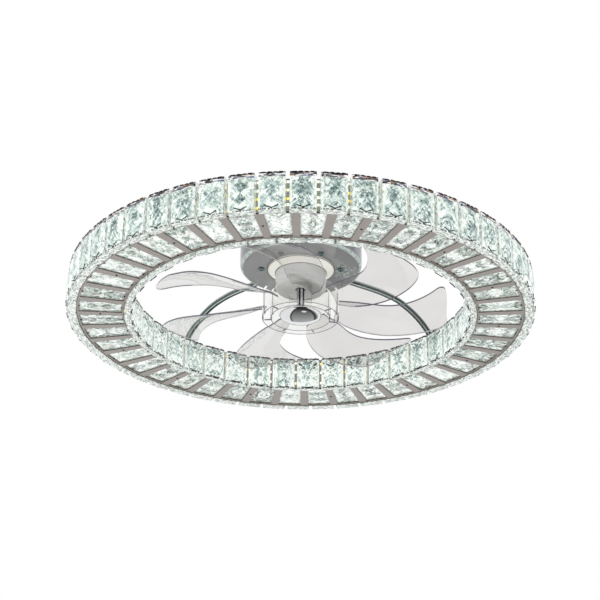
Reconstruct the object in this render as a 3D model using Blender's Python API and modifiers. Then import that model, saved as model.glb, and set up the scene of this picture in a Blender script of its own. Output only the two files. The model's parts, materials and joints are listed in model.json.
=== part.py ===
"""Crystal ceiling fan: a ring of lit crystals round a small fan with clear blades.

The origin is the middle of the face that meets the ceiling, +Z points up into the
ceiling, and the fan turns about the Z axis. All sizes are in metres.
"""

import math

import bmesh
import bpy
from mathutils import Matrix, Vector

# Gaps and small allowances
CLEARANCE = 0.0003
CUT_OVERRUN = 0.002
MERGE_DISTANCE = 0.00001
SMOOTH_ANGLE = math.radians(35)
HEX_SIDES = 6

# Canopy, the chrome drum under the ceiling
CANOPY_RADIUS = 0.066
CANOPY_HEIGHT = 0.070
CANOPY_WALL = 0.0012
CANOPY_FILLET = 0.0045
CANOPY_MOUTH_MARGIN = 0.006
CANOPY_STEPS = 40
FILLET_STEPS = 2

# Steel plates inside the canopy
CEILING_PLATE_MARGIN = 0.0048
CEILING_PLATE_GAUGE = 0.002
CEILING_HOLE_RADIUS = 0.0026
CEILING_HOLE_INSET = 0.010
CEILING_HOLE_COUNT = 4
WIRE_HOLE_RADIUS = 0.007
WIRE_HOLE_INSET = 0.014
CHASSIS_MARGIN = 0.0068
CHASSIS_GAUGE = 0.0025
CHASSIS_BORE_MARGIN = 0.002
PILLAR_RADIUS = 0.004
PILLAR_PLACE_SHARE = 0.636
PILLAR_COUNT = 3
PILLAR_AZIMUTH = math.radians(90)

# Screws that hold the canopy to the chassis plate
CANOPY_SCREW_COUNT = 6
CANOPY_SCREW_PLACE_SHARE = 0.318
SCREW_HEAD_RADIUS = 0.0034
SCREW_HEAD_HEIGHT = 0.0018
SCREW_SHANK_RADIUS = 0.002
SCREW_PROUD = 0.004

# Electrics under the ceiling plate, as shares of the canopy's radius, radius and height
DRIVER_SHARES = (1.0, 0.515, 0.314)
CONTROLLER_SHARES = (0.85, 0.455, 0.257)
TERMINAL_SHARES = (0.15, 0.33, 0.17)
ELECTRICS_SPACING = 0.003
CASE_EDGE = 0.002
TERMINAL_EDGE = 0.001
LEAD_RADIUS = 0.0018
LEAD_BOW = 0.0054
LEAD_STEPS = 10

# Motor, which hangs through the canopy's floor
MOTOR_RADIUS = 0.027
MOTOR_DROP = 0.025
MOTOR_WALL = 0.0015
MOTOR_FLOOR = 0.002
MOTOR_FLANGE_WIDTH = 0.009
MOTOR_FLANGE_GAUGE = 0.0015
MOTOR_LID_GAUGE = 0.002
MOTOR_EDGE = 0.0015
MOTOR_STEPS = 28
COLLAR_LAP = 0.003
COLLAR_DROP = 0.0055
COLLAR_LIP = 0.0012
COLLAR_FOOT_WALL = 0.0015
SHAFT_RADIUS = 0.0038
BEARING_RADIUS = 0.009
BEARING_HEIGHT = 0.005
BEARING_SEAT_WALL = 0.002
BEARING_SEAT_HEIGHT = 0.003
STATOR_RISE = 0.008
STATOR_HEIGHT = 0.014
STATOR_YOKE = 0.003
STATOR_TEETH = 9
STATOR_TOOTH_WIDTH = 0.004
STATOR_TOOTH_LENGTH = 0.006
MAGNET_AIR_GAP = 0.001
SMALL_STEPS = 16

# Blade hub, nut and dome cap on the shaft
HUB_GAP = 0.003
HUB_RADIUS = 0.041
HUB_HEIGHT = 0.031
HUB_WALL = 0.002
HUB_RING_SHARE = 0.78
HUB_BOSS_RADIUS = 0.012
HUB_FLANGE_RADIUS = 0.023
HUB_FLANGE_RISE = 0.004
HUB_RIB_HEIGHT = 0.010
HUB_STEPS = 28
NUT_RADIUS = 0.008
NUT_HEIGHT = 0.003
SHAFT_END = 0.001
DOME_DEPTH = 0.0065
DOME_WALL = 0.0012
DOME_STEPS = 24
DOME_ARC_STEPS = 4

# Blades, clear and swept, from root to tip
BLADE_COUNT = 7
BLADE_AZIMUTH = math.radians(222.2)
BLADE_TIP_GAP = 0.0125
BLADE_GAUGE = 0.002
BLADE_ROOT_RISE = 0.0075
BLADE_PITCH = 0.014
BLADE_CAMBER = 0.0025
BLADE_ROWS = 10
BLADE_COLUMNS = 5
BLADE_STATION_SHARES = (0.0, 0.125, 0.25, 0.375, 0.5, 0.625, 0.75, 0.875, 1.0)
BLADE_LEAD_DEGREES = (-15.4, -16.8, -16.3, -15.4, -16.7, -20.6, -25.6, -31.4, -35.6)
BLADE_TRAIL_DEGREES = (13.0, 15.5, 14.4, 12.4, 9.9, 6.9, 3.2, -2.1, -10.1)
BLADE_LEAD_RISE_SHARES = (0.98, 0.87, 0.76, 0.67, 0.64, 0.66, 0.74, 0.83, 0.96)
BLADE_TRAIL_RISE_SHARES = (0.11, -0.13, -0.29, -0.37, -0.38, -0.31, -0.21, -0.14, -0.23)
BLADE_TIP_SHARES = (0.94, 0.94, 0.94, 0.94, 0.95, 0.97)

# Ring frame
RING_DROP = 0.061
RING_RADIUS = 0.238
RING_WIDTH = 0.050
RING_RIM = 0.0036
RING_HEIGHT = 0.0365
RING_GAUGE = 0.0012
BAND_GAUGE = 0.0014
LIGHT_BOARD_GAUGE = 0.0016
LIGHT_BOARD_INSET = 0.0025
WINDOW_COUNT = 42
WINDOW_SPOKE_DEGREES = 2.2
SPOKE_AZIMUTH = math.radians(3.0)
RING_STEPS_PER_WINDOW = 1

# Crystals round the outside, round the inside and over the windows
OUTER_CRYSTAL_COUNT = 52
OUTER_CRYSTAL_GROUPS = 4
OUTER_CRYSTAL_DEPTH = 0.0117
OUTER_CRYSTAL_WIDTH_SHARE = 0.8926
OUTER_CRYSTAL_AZIMUTH = math.radians(270)
OUTER_CRYSTAL_DROP = 0.0005
OUTER_CRYSTAL_RISE = 0.003
INNER_CRYSTAL_COUNT = 40
INNER_CRYSTAL_GROUPS = 4
INNER_CRYSTAL_DEPTH = 0.0091
INNER_CRYSTAL_WIDTH_SHARE = 0.9074
INNER_CRYSTAL_AZIMUTH = math.radians(87.1)
INNER_CRYSTAL_DROP = 0.0025
INNER_CRYSTAL_TOP_INSET = 0.001
WINDOW_CRYSTAL_GROUPS = 3
WINDOW_CRYSTAL_DEPTH = 0.009
WINDOW_CRYSTAL_LAP = 0.0009
CRYSTAL_BEVEL = 0.0035
CRYSTAL_BEVEL_DEPTH = 0.0022
CRYSTAL_CROWN = 0.0022
WINDOW_CROWN = 0.0008
CARRIER_WIDTH = 0.0015
CARRIER_HEIGHT = 0.003
CARRIER_INSET = 0.0012

# Arms from the canopy to the ring
ARM_COUNT = 4
ARM_AZIMUTH = math.radians(41.5)
ARM_RADIUS = 0.0035
ARM_RISE = 0.0095
ARM_INNER_END = 0.0065
ARM_LANDING_INSET = 0.011
ARM_REACH_SHARES = (0.0, 0.053, 0.22, 0.44, 0.62, 0.76, 0.88, 0.965, 1.0, 1.0)
ARM_RISE_SHARES = (1.0, 1.0, 1.05, 1.1, 1.05, 0.89, 0.64, 0.36, 0.12, 0.0)
ARM_STEPS_PER_SPAN = 2
ARM_NUT_RADIUS = 0.0065
ARM_NUT_HEIGHT = 0.004

# Sizes that follow from the ones above
CEILING_PLATE_RADIUS = CANOPY_RADIUS - CANOPY_WALL - CEILING_PLATE_MARGIN
CEILING_HOLE_CIRCLE = CEILING_PLATE_RADIUS - CEILING_HOLE_INSET
CHASSIS_RADIUS = CANOPY_RADIUS - CANOPY_WALL - CHASSIS_MARGIN
CHASSIS_BORE_RADIUS = MOTOR_RADIUS + CHASSIS_BORE_MARGIN
CANOPY_MOUTH_RADIUS = MOTOR_RADIUS + CANOPY_MOUTH_MARGIN
MOTOR_FLANGE_RADIUS = MOTOR_RADIUS + MOTOR_FLANGE_WIDTH
COLLAR_RADIUS = CANOPY_MOUTH_RADIUS + COLLAR_LAP
CHASSIS_BAND = CHASSIS_RADIUS - MOTOR_FLANGE_RADIUS
CANOPY_SCREW_CIRCLE = MOTOR_FLANGE_RADIUS + CANOPY_SCREW_PLACE_SHARE * CHASSIS_BAND
PILLAR_CIRCLE = MOTOR_FLANGE_RADIUS + PILLAR_PLACE_SHARE * CHASSIS_BAND
MOTOR_BORE = MOTOR_RADIUS - MOTOR_WALL
SHAFT_BORE = SHAFT_RADIUS + CLEARANCE
HUB_RING_RADIUS = HUB_RING_SHARE * HUB_RADIUS
RING_OPENING_RADIUS = RING_RADIUS - RING_WIDTH
RING_MIDDLE_RADIUS = (RING_RADIUS + RING_OPENING_RADIUS) / 2
RING_STEPS = RING_STEPS_PER_WINDOW * WINDOW_COUNT
WINDOW_LENGTH = RING_WIDTH - 2 * RING_RIM
WINDOW_PITCH = 2 * math.pi / WINDOW_COUNT
WINDOW_HALF_ANGLE = (WINDOW_PITCH - math.radians(WINDOW_SPOKE_DEGREES)) / 2
OUTER_CRYSTAL_PITCH = 2 * math.pi / OUTER_CRYSTAL_COUNT
OUTER_CRYSTAL_WIDTH = OUTER_CRYSTAL_WIDTH_SHARE * OUTER_CRYSTAL_PITCH * (RING_RADIUS + CLEARANCE)
INNER_CRYSTAL_PITCH = 2 * math.pi / INNER_CRYSTAL_COUNT
INNER_CRYSTAL_FACE_RADIUS = RING_OPENING_RADIUS - INNER_CRYSTAL_DEPTH
INNER_CRYSTAL_WIDTH = INNER_CRYSTAL_WIDTH_SHARE * INNER_CRYSTAL_PITCH * INNER_CRYSTAL_FACE_RADIUS
OUTER_CRYSTAL_HEIGHT = OUTER_CRYSTAL_DROP + RING_HEIGHT + OUTER_CRYSTAL_RISE
INNER_CRYSTAL_HEIGHT = INNER_CRYSTAL_DROP + RING_HEIGHT - INNER_CRYSTAL_TOP_INSET
BLADE_TIP_RADIUS = INNER_CRYSTAL_FACE_RADIUS - BLADE_TIP_GAP

# Places that follow from the sizes
CANOPY_FLOOR_Z = -CANOPY_HEIGHT
RING_Z = CANOPY_FLOOR_Z - RING_DROP
RING_TOP_Z = RING_Z + RING_HEIGHT
CEILING_PLATE_Z = -CEILING_PLATE_GAUGE
CHASSIS_Z = CANOPY_FLOOR_Z + CANOPY_WALL + CLEARANCE
CHASSIS_TOP_Z = CHASSIS_Z + CHASSIS_GAUGE
MOTOR_Z = CANOPY_FLOOR_Z - MOTOR_DROP
MOTOR_FLANGE_Z = CHASSIS_TOP_Z + CLEARANCE
MOTOR_LID_Z = MOTOR_FLANGE_Z + MOTOR_FLANGE_GAUGE + CLEARANCE
HUB_TOP_Z = MOTOR_Z - HUB_GAP
HUB_Z = HUB_TOP_Z - HUB_HEIGHT
HUB_FLANGE_Z = HUB_Z + HUB_FLANGE_RISE
ARM_Z = CANOPY_FLOOR_Z + ARM_RISE

OBJECT_NAME = "crystal_ceiling_fan"


def clear_scene() -> None:
    """Remove every object that the file opened with."""
    for obj in list(bpy.data.objects):
        bpy.data.objects.remove(obj, do_unlink=True)


def new_collection(name: str):
    """Return a new collection in the scene."""
    collection = bpy.data.collections.new(name)
    bpy.context.scene.collection.children.link(collection)
    return collection


def finish(name: str, colour: tuple, roughness: float, metallic: float, transmission=0.0):
    """Return a plain surface finish."""
    material = bpy.data.materials.new(name)
    material.use_nodes = True
    shader = material.node_tree.nodes["Principled BSDF"]
    shader.inputs["Base Color"].default_value = (*colour, 1.0)
    shader.inputs["Roughness"].default_value = roughness
    shader.inputs["Metallic"].default_value = metallic
    shader.inputs["Transmission Weight"].default_value = transmission
    return material


def chrome(name: str):
    """Polished chrome plate."""
    return finish(name, (0.86, 0.87, 0.88), 0.04, 1.0)


def satin_steel(name: str):
    """Warm grey satin steel."""
    return finish(name, (0.38, 0.35, 0.33), 0.38, 1.0)


def zinc_steel(name: str):
    """Zinc plated sheet steel."""
    return finish(name, (0.62, 0.63, 0.64), 0.45, 1.0)


def white_plastic(name: str):
    """Moulded white plastic."""
    return finish(name, (0.85, 0.85, 0.83), 0.4, 0.0)


def cream_plastic(name: str):
    """Moulded cream plastic."""
    return finish(name, (0.80, 0.77, 0.68), 0.4, 0.0)


def crystal_glass(name: str):
    """Bright cut crystal."""
    return finish(name, (0.90, 0.97, 0.95), 0.02, 0.0, 1.0)


def clear_acrylic(name: str):
    """Clear acrylic."""
    return finish(name, (0.93, 0.92, 0.92), 0.05, 0.0, 1.0)


def dark_steel(name: str):
    """Dark laminated or blackened steel."""
    return finish(name, (0.09, 0.09, 0.10), 0.45, 1.0)


def add_object(name: str, data, material, collection, parent=None):
    """Link a new object that carries its own material."""
    obj = bpy.data.objects.new(name, data)
    collection.objects.link(obj)
    if material is not None and not data.materials:
        data.materials.append(material)
    obj.parent = parent
    return obj


def round_off(mesh) -> None:
    """Shade a round piece smooth and keep its hard edges."""
    mesh.shade_smooth()
    mesh.set_sharp_from_angle(angle=SMOOTH_ANGLE)


def circle_points(radius: float, count: int, centre=(0.0, 0.0), phase=0.0) -> list:
    """Points round a circle, anticlockwise from the phase angle."""
    step = 2 * math.pi / count
    return [
        (centre[0] + radius * math.cos(phase + step * i), centre[1] + radius * math.sin(phase + step * i))
        for i in range(count)
    ]


def polar(radius: float, azimuth: float) -> tuple:
    """The plan point at a radius and an azimuth."""
    return radius * math.cos(azimuth), radius * math.sin(azimuth)


def spin(azimuth: float, radius: float, z: float):
    """The matrix that puts a piece at a radius, turned to face outwards."""
    return Matrix.Rotation(azimuth, 4, "Z") @ Matrix.Translation((radius, 0.0, z))


def turned(name, profile, steps, material, collection, z=0.0, parent=None, closed=True):
    """A turned piece: a profile of (radius, height) points swept round the Z axis."""
    mesh = bpy.data.meshes.new(name)
    edges = [(i, i + 1) for i in range(len(profile) - 1)]
    if closed:
        edges.append((len(profile) - 1, 0))
    mesh.from_pydata([(radius, 0.0, height) for radius, height in profile], edges, [])
    obj = add_object(name, mesh, material, collection, parent)
    obj.location.z = z
    screw = obj.modifiers.new("turn", "SCREW")
    screw.steps = steps
    screw.render_steps = steps
    screw.use_merge_vertices = True
    screw.merge_threshold = MERGE_DISTANCE
    return obj


def flat_piece(name, outlines, thickness, z, material, collection, parent=None):
    """A flat piece: closed outlines filled and extruded upwards from z."""
    curve = bpy.data.curves.new(name, "CURVE")
    curve.dimensions = "2D"
    curve.fill_mode = "BOTH"
    curve.extrude = thickness / 2
    curve.resolution_u = 1
    for outline in outlines:
        spline = curve.splines.new("POLY")
        spline.points.add(len(outline) - 1)
        for point, (x, y) in zip(spline.points, outline):
            point.co = (x, y, 0.0, 1.0)
        spline.use_cyclic_u = True
    obj = add_object(name, curve, material, collection, parent)
    obj.location.z = z + thickness / 2
    return obj


def tube(name, points, radius, material, collection, parent=None):
    """A round bar or wire along a smooth run of points."""
    curve = bpy.data.curves.new(name, "CURVE")
    curve.dimensions = "3D"
    curve.bevel_depth = radius
    curve.bevel_resolution = 2
    curve.use_fill_caps = True
    curve.resolution_u = 1
    spline = curve.splines.new("POLY")
    spline.points.add(len(points) - 1)
    for point, place in zip(spline.points, points):
        point.co = (*place, 1.0)
    return add_object(name, curve, material, collection, parent)


def as_mesh(obj, collection):
    """Replace a curve by a welded mesh of the same name."""
    bpy.context.view_layer.update()
    depsgraph = bpy.context.evaluated_depsgraph_get()
    mesh = bpy.data.meshes.new_from_object(obj.evaluated_get(depsgraph))
    work = bmesh.new()
    work.from_mesh(mesh)
    bmesh.ops.remove_doubles(work, verts=work.verts, dist=MERGE_DISTANCE)
    work.to_mesh(mesh)
    work.free()
    name, place = obj.name, obj.matrix_world.copy()
    bpy.data.objects.remove(obj, do_unlink=True)
    mesh.name = name
    result = bpy.data.objects.new(name, mesh)
    collection.objects.link(result)
    result.matrix_world = place
    return result


def box_mesh(name: str, size: Vector, edge: float):
    """A box that stands on z = 0, with all its edges bevelled."""
    work = bmesh.new()
    bmesh.ops.create_cube(work, size=1.0)
    bmesh.ops.scale(work, vec=size, verts=work.verts)
    bmesh.ops.bevel(
        work, geom=list(work.edges), offset=edge, offset_type="OFFSET", segments=1, affect="EDGES",
        profile=0.5,
    )
    bmesh.ops.translate(work, vec=(0.0, 0.0, size.z / 2), verts=work.verts)
    mesh = bpy.data.meshes.new(name)
    work.to_mesh(mesh)
    work.free()
    return mesh


def hex_mesh(name: str, radius: float, length: float):
    """A hexagonal bar that stands on z = 0."""
    work = bmesh.new()
    bmesh.ops.create_cone(
        work, cap_ends=True, cap_tris=False, segments=HEX_SIDES, radius1=radius, radius2=radius,
        depth=length, matrix=Matrix.Translation((0.0, 0.0, length / 2)),
    )
    mesh = bpy.data.meshes.new(name)
    work.to_mesh(mesh)
    work.free()
    return mesh


def add_bars(work, places: list, radius: float, length: float, sides: int) -> None:
    """Add equal bars to a mesh, each centred on a place given as a matrix."""
    for place in places:
        bmesh.ops.create_cone(
            work, cap_ends=True, cap_tris=False, segments=sides, radius1=radius, radius2=radius,
            depth=length, matrix=place,
        )


def guide_object(name: str, work, guides):
    """Keep a working mesh as a hidden cutter or joiner."""
    mesh = bpy.data.meshes.new(name)
    work.to_mesh(mesh)
    work.free()
    obj = bpy.data.objects.new(name, mesh)
    guides.objects.link(obj)
    return hide_guide(obj)


def hide_guide(obj):
    """Mark an object as a cutter or joiner that isn't a piece."""
    obj.hide_render = True
    obj.display_type = "WIRE"
    return obj


def combine(obj, other, operation: str) -> None:
    """Cut or join an object with a guide."""
    boolean = obj.modifiers.new(operation.lower(), "BOOLEAN")
    boolean.operation = operation
    boolean.solver = "EXACT"
    boolean.object = other


def canopy_shell(parts, guides) -> None:
    """Chrome drum, open to the ceiling, with a rounded lower edge and a mouth for the motor."""
    inner = CANOPY_RADIUS - CANOPY_WALL
    centre_r = CANOPY_RADIUS - CANOPY_FILLET
    centre_z = CANOPY_FLOOR_Z + CANOPY_FILLET
    inner_fillet = CANOPY_FILLET - CANOPY_WALL
    angles = [math.pi / 2 * i / FILLET_STEPS for i in range(FILLET_STEPS + 1)]
    outer_arc = [
        (centre_r + CANOPY_FILLET * math.cos(a), centre_z - CANOPY_FILLET * math.sin(a)) for a in angles
    ]
    inner_arc = [
        (centre_r + inner_fillet * math.cos(a), centre_z - inner_fillet * math.sin(a))
        for a in reversed(angles)
    ]
    profile = [(CANOPY_RADIUS, 0.0)] + outer_arc
    profile += [(CANOPY_MOUTH_RADIUS, CANOPY_FLOOR_Z), (CANOPY_MOUTH_RADIUS, CANOPY_FLOOR_Z + CANOPY_WALL)]
    profile += inner_arc + [(inner, 0.0)]
    shell = turned("canopy_shell", profile, CANOPY_STEPS, chrome("canopy chrome"), parts)
    work = bmesh.new()
    floor_length = CANOPY_WALL + CUT_OVERRUN
    floor_places = [
        Matrix.Translation((*polar(CANOPY_SCREW_CIRCLE, a), CANOPY_FLOOR_Z + CANOPY_WALL / 2))
        for a in canopy_screw_azimuths()
    ]
    add_bars(work, floor_places, SCREW_SHANK_RADIUS + CLEARANCE, floor_length, SMALL_STEPS // 2)
    wall_places = [
        spin(a, CANOPY_RADIUS - CANOPY_WALL / 2, ARM_Z) @ Matrix.Rotation(math.pi / 2, 4, "Y")
        for a in arm_azimuths()
    ]
    wall_length = CANOPY_WALL + CUT_OVERRUN
    add_bars(work, wall_places, ARM_RADIUS + CLEARANCE, wall_length, SMALL_STEPS)
    combine(shell, guide_object("canopy_cutter", work, guides), "DIFFERENCE")


def canopy_screw_azimuths() -> list:
    """Azimuths of the screws round the canopy's floor."""
    return [2 * math.pi * i / CANOPY_SCREW_COUNT for i in range(CANOPY_SCREW_COUNT)]


def arm_azimuths() -> list:
    """Azimuths of the arms."""
    return [ARM_AZIMUTH + 2 * math.pi * i / ARM_COUNT for i in range(ARM_COUNT)]


def pillar_azimuths() -> list:
    """Azimuths of the pillars between the two steel plates."""
    return [PILLAR_AZIMUTH + 2 * math.pi * i / PILLAR_COUNT for i in range(PILLAR_COUNT)]


def ceiling_plate(parts) -> None:
    """Steel plate that is screwed to the ceiling."""
    outlines = [circle_points(CEILING_PLATE_RADIUS, CANOPY_STEPS)]
    for i in range(CEILING_HOLE_COUNT):
        azimuth = math.pi / 4 + 2 * math.pi * i / CEILING_HOLE_COUNT
        centre = polar(CEILING_HOLE_CIRCLE, azimuth)
        outlines.append(circle_points(CEILING_HOLE_RADIUS, SMALL_STEPS // 2, centre))
    wire_hole = polar(CEILING_PLATE_RADIUS - WIRE_HOLE_INSET, math.pi)
    outlines.append(circle_points(WIRE_HOLE_RADIUS, SMALL_STEPS, wire_hole))
    steel = zinc_steel("ceiling plate zinc")
    flat_piece("ceiling_plate", outlines, CEILING_PLATE_GAUGE, CEILING_PLATE_Z, steel, parts)


def chassis_plate(parts) -> None:
    """Steel plate on the canopy's floor, which carries the motor."""
    outlines = [circle_points(CHASSIS_RADIUS, CANOPY_STEPS), circle_points(CHASSIS_BORE_RADIUS, MOTOR_STEPS)]
    for azimuth in canopy_screw_azimuths():
        centre = polar(CANOPY_SCREW_CIRCLE, azimuth)
        outlines.append(circle_points(SCREW_SHANK_RADIUS + CLEARANCE, SMALL_STEPS // 2, centre))
    steel = zinc_steel("chassis plate zinc")
    flat_piece("chassis_plate", outlines, CHASSIS_GAUGE, CHASSIS_Z, steel, parts)


def chassis_pillars(parts) -> None:
    """Hexagonal pillars that hang the chassis plate from the ceiling plate."""
    top = CEILING_PLATE_Z - CLEARANCE
    bottom = CHASSIS_TOP_Z + CLEARANCE
    mesh = hex_mesh("chassis_pillar", PILLAR_RADIUS, top - bottom)
    steel = zinc_steel("pillar zinc")
    for number, azimuth in enumerate(pillar_azimuths(), start=1):
        pillar = add_object(f"chassis_pillar_{number}", mesh, steel, parts)
        pillar.location = (*polar(PILLAR_CIRCLE, azimuth), bottom)


def canopy_screws(parts) -> None:
    """Pan head screws through the canopy's floor into the chassis plate."""
    head_top = CANOPY_FLOOR_Z - CLEARANCE
    head_bottom = head_top - SCREW_HEAD_HEIGHT
    end = CHASSIS_TOP_Z + SCREW_PROUD
    profile = [
        (0.0, end),
        (SCREW_SHANK_RADIUS, end),
        (SCREW_SHANK_RADIUS, head_top),
        (SCREW_HEAD_RADIUS, head_top),
        (SCREW_HEAD_RADIUS, head_bottom + SCREW_HEAD_HEIGHT / 2),
        (SCREW_SHANK_RADIUS, head_bottom),
        (0.0, head_bottom),
    ]
    steel = chrome("canopy screw chrome")
    for number, azimuth in enumerate(canopy_screw_azimuths(), start=1):
        screw = turned(f"canopy_screw_{number}", profile, SMALL_STEPS // 2, steel, parts, closed=False)
        screw.location = (*polar(CANOPY_SCREW_CIRCLE, azimuth), 0.0)


def case_size(shares: tuple) -> Vector:
    """The size of an electrical case, from its shares of the canopy."""
    return Vector((CANOPY_RADIUS * shares[0], CANOPY_RADIUS * shares[1], CANOPY_HEIGHT * shares[2]))


def electrics(parts) -> None:
    """Light driver, fan controller and terminal block, hung under the ceiling plate."""
    underside = CEILING_PLATE_Z - CLEARANCE
    driver_size, controller_size = case_size(DRIVER_SHARES), case_size(CONTROLLER_SHARES)
    terminal_size = case_size(TERMINAL_SHARES)
    driver = add_object(
        "light_driver", box_mesh("light_driver", driver_size, CASE_EDGE),
        white_plastic("driver case plastic"), parts,
    )
    driver.location = (0.0, (ELECTRICS_SPACING + driver_size.y) / 2, underside - driver_size.z)
    controller = add_object(
        "fan_controller", box_mesh("fan_controller", controller_size, CASE_EDGE),
        white_plastic("controller case plastic"), parts,
    )
    controller_y = -(ELECTRICS_SPACING + controller_size.y) / 2
    controller.location = (0.0, controller_y, underside - controller_size.z)
    terminal = add_object(
        "terminal_block", box_mesh("terminal_block", terminal_size, TERMINAL_EDGE),
        cream_plastic("terminal block nylon"), parts,
    )
    terminal_x = (driver_size.x + terminal_size.x) / 2 + ELECTRICS_SPACING
    terminal.location = (terminal_x, driver.location.y, underside - terminal_size.z)


def motor_lead(parts) -> None:
    """Sleeved wires from the fan controller down to the motor's lid."""
    controller = case_size(CONTROLLER_SHARES)
    start_z = CEILING_PLATE_Z - CLEARANCE - controller.z - CLEARANCE
    end_z = MOTOR_LID_Z + MOTOR_LID_GAUGE + CLEARANCE
    start_y = -(ELECTRICS_SPACING + controller.y) / 2
    end_y = -(BEARING_RADIUS + MOTOR_RADIUS) / 2
    points = []
    for i in range(LEAD_STEPS + 1):
        share = i / LEAD_STEPS
        sweep = share * share * (3 - 2 * share)
        bow = LEAD_BOW * math.sin(math.pi * share) ** 2
        points.append((bow, start_y + (end_y - start_y) * sweep, start_z + (end_z - start_z) * share))
    sleeve = finish("motor lead sleeve", (0.7, 0.7, 0.7), 0.6, 0.0)
    tube("motor_lead", points, LEAD_RADIUS, sleeve, parts)


def motor_housing(parts) -> None:
    """Motor can with a top flange, a floor and a raised seat for the lower bearing."""
    flange_top = MOTOR_FLANGE_Z + MOTOR_FLANGE_GAUGE
    floor_top = MOTOR_Z + MOTOR_FLOOR
    seat_inner = BEARING_RADIUS + CLEARANCE
    seat_outer = seat_inner + BEARING_SEAT_WALL
    shaft_hole = SHAFT_BORE + MOTOR_EDGE
    profile = [
        (MOTOR_FLANGE_RADIUS, flange_top),
        (MOTOR_FLANGE_RADIUS, MOTOR_FLANGE_Z),
        (MOTOR_RADIUS, MOTOR_FLANGE_Z),
        (MOTOR_RADIUS, MOTOR_Z + MOTOR_EDGE),
        (MOTOR_RADIUS - MOTOR_EDGE, MOTOR_Z),
        (shaft_hole, MOTOR_Z),
        (shaft_hole, floor_top),
        (seat_inner, floor_top),
        (seat_inner, floor_top + BEARING_SEAT_HEIGHT),
        (seat_outer, floor_top + BEARING_SEAT_HEIGHT),
        (seat_outer, floor_top),
        (MOTOR_BORE, floor_top),
        (MOTOR_BORE, flange_top),
    ]
    turned("motor_housing", profile, MOTOR_STEPS, white_plastic("motor housing paint"), parts)


def motor_lid(parts) -> None:
    """Lid on the motor's flange, with a closed boss over the upper bearing."""
    top = MOTOR_LID_Z + MOTOR_LID_GAUGE
    pocket_top = MOTOR_LID_Z + BEARING_HEIGHT + BEARING_SEAT_WALL
    boss_top = pocket_top + BEARING_SEAT_WALL
    pocket = BEARING_RADIUS + CLEARANCE
    profile = [
        (0.0, boss_top),
        (pocket + BEARING_SEAT_WALL, boss_top),
        (pocket + BEARING_SEAT_WALL, top),
        (MOTOR_FLANGE_RADIUS, top),
        (MOTOR_FLANGE_RADIUS, MOTOR_LID_Z),
        (pocket, MOTOR_LID_Z),
        (pocket, pocket_top),
        (0.0, pocket_top),
    ]
    turned("motor_lid", profile, MOTOR_STEPS, zinc_steel("motor lid zinc"), parts, closed=False)


def motor_collar(parts) -> None:
    """Cream funnel that covers the canopy's mouth round the motor."""
    top = CANOPY_FLOOR_Z - CLEARANCE
    bottom = CANOPY_FLOOR_Z - COLLAR_DROP
    inner = MOTOR_RADIUS + CLEARANCE
    foot = inner + COLLAR_FOOT_WALL
    middle = (COLLAR_RADIUS + foot) / 2
    profile = [
        (COLLAR_RADIUS, top),
        (COLLAR_RADIUS, top - COLLAR_LIP),
        (middle, (top - COLLAR_LIP + bottom) / 2 + COLLAR_LIP / 2),
        (foot, bottom),
        (inner, bottom),
        (inner, top),
    ]
    turned("motor_collar", profile, MOTOR_STEPS, cream_plastic("motor collar cream"), parts)


def stator(parts) -> None:
    """Stator stack: an outer yoke with teeth that point at the shaft."""
    outer = MOTOR_BORE - CLEARANCE
    root = outer - STATOR_YOKE
    tip = root - STATOR_TOOTH_LENGTH
    bore = []
    for i in range(STATOR_TEETH):
        middle = 2 * math.pi * i / STATOR_TEETH
        for radius, side in ((root, -1), (tip, -1), (tip, 1), (root, 1)):
            half = math.asin(STATOR_TOOTH_WIDTH / 2 / radius)
            bore.append(polar(radius, middle + side * half))
        bore.append(polar(root, middle + math.pi / STATOR_TEETH))
    outlines = [circle_points(outer, MOTOR_STEPS), bore]
    z = MOTOR_Z + MOTOR_FLOOR + STATOR_RISE
    flat_piece("stator", outlines, STATOR_HEIGHT, z, dark_steel("stator laminations"), parts)


def ring_profile(inner: float, outer: float, low: float, high: float) -> list:
    """The profile of a plain ring."""
    return [(outer, high), (outer, low), (inner, low), (inner, high)]


def bearings(parts) -> None:
    """Two ball bearings, each a plain ring here, one on the motor's floor and one in its lid."""
    steel = finish("bearing steel", (0.55, 0.56, 0.58), 0.25, 1.0)
    lower_z = MOTOR_Z + MOTOR_FLOOR + CLEARANCE
    upper_z = MOTOR_LID_Z + BEARING_SEAT_WALL / 2
    for name, z in (("lower_bearing", lower_z), ("upper_bearing", upper_z)):
        profile = ring_profile(SHAFT_BORE, BEARING_RADIUS, z, z + BEARING_HEIGHT)
        turned(name, profile, SMALL_STEPS, steel, parts)


def motor_shaft(parts, axis) -> None:
    """Shaft from inside the motor's lid down through the hub to its nut."""
    top = MOTOR_LID_Z + BEARING_HEIGHT + BEARING_SEAT_WALL - CLEARANCE
    bottom = HUB_FLANGE_Z - CLEARANCE - NUT_HEIGHT - SHAFT_END
    profile = [(0.0, top), (SHAFT_RADIUS, top), (SHAFT_RADIUS, bottom), (0.0, bottom)]
    shaft = turned(
        "motor_shaft", profile, SMALL_STEPS, dark_steel("shaft steel"), parts, parent=axis, closed=False,
    )
    shaft.location.z = -RING_Z


def rotor_magnet(parts, axis) -> None:
    """Magnet ring on the shaft, inside the stator's teeth."""
    tooth_tip = MOTOR_BORE - CLEARANCE - STATOR_YOKE - STATOR_TOOTH_LENGTH
    z = MOTOR_Z + MOTOR_FLOOR + STATOR_RISE
    profile = ring_profile(SHAFT_BORE, tooth_tip - MAGNET_AIR_GAP, z, z + STATOR_HEIGHT)
    magnet = turned("rotor_magnet", profile, SMALL_STEPS, dark_steel("magnet ferrite"), parts, parent=axis)
    magnet.location.z = -RING_Z


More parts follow.
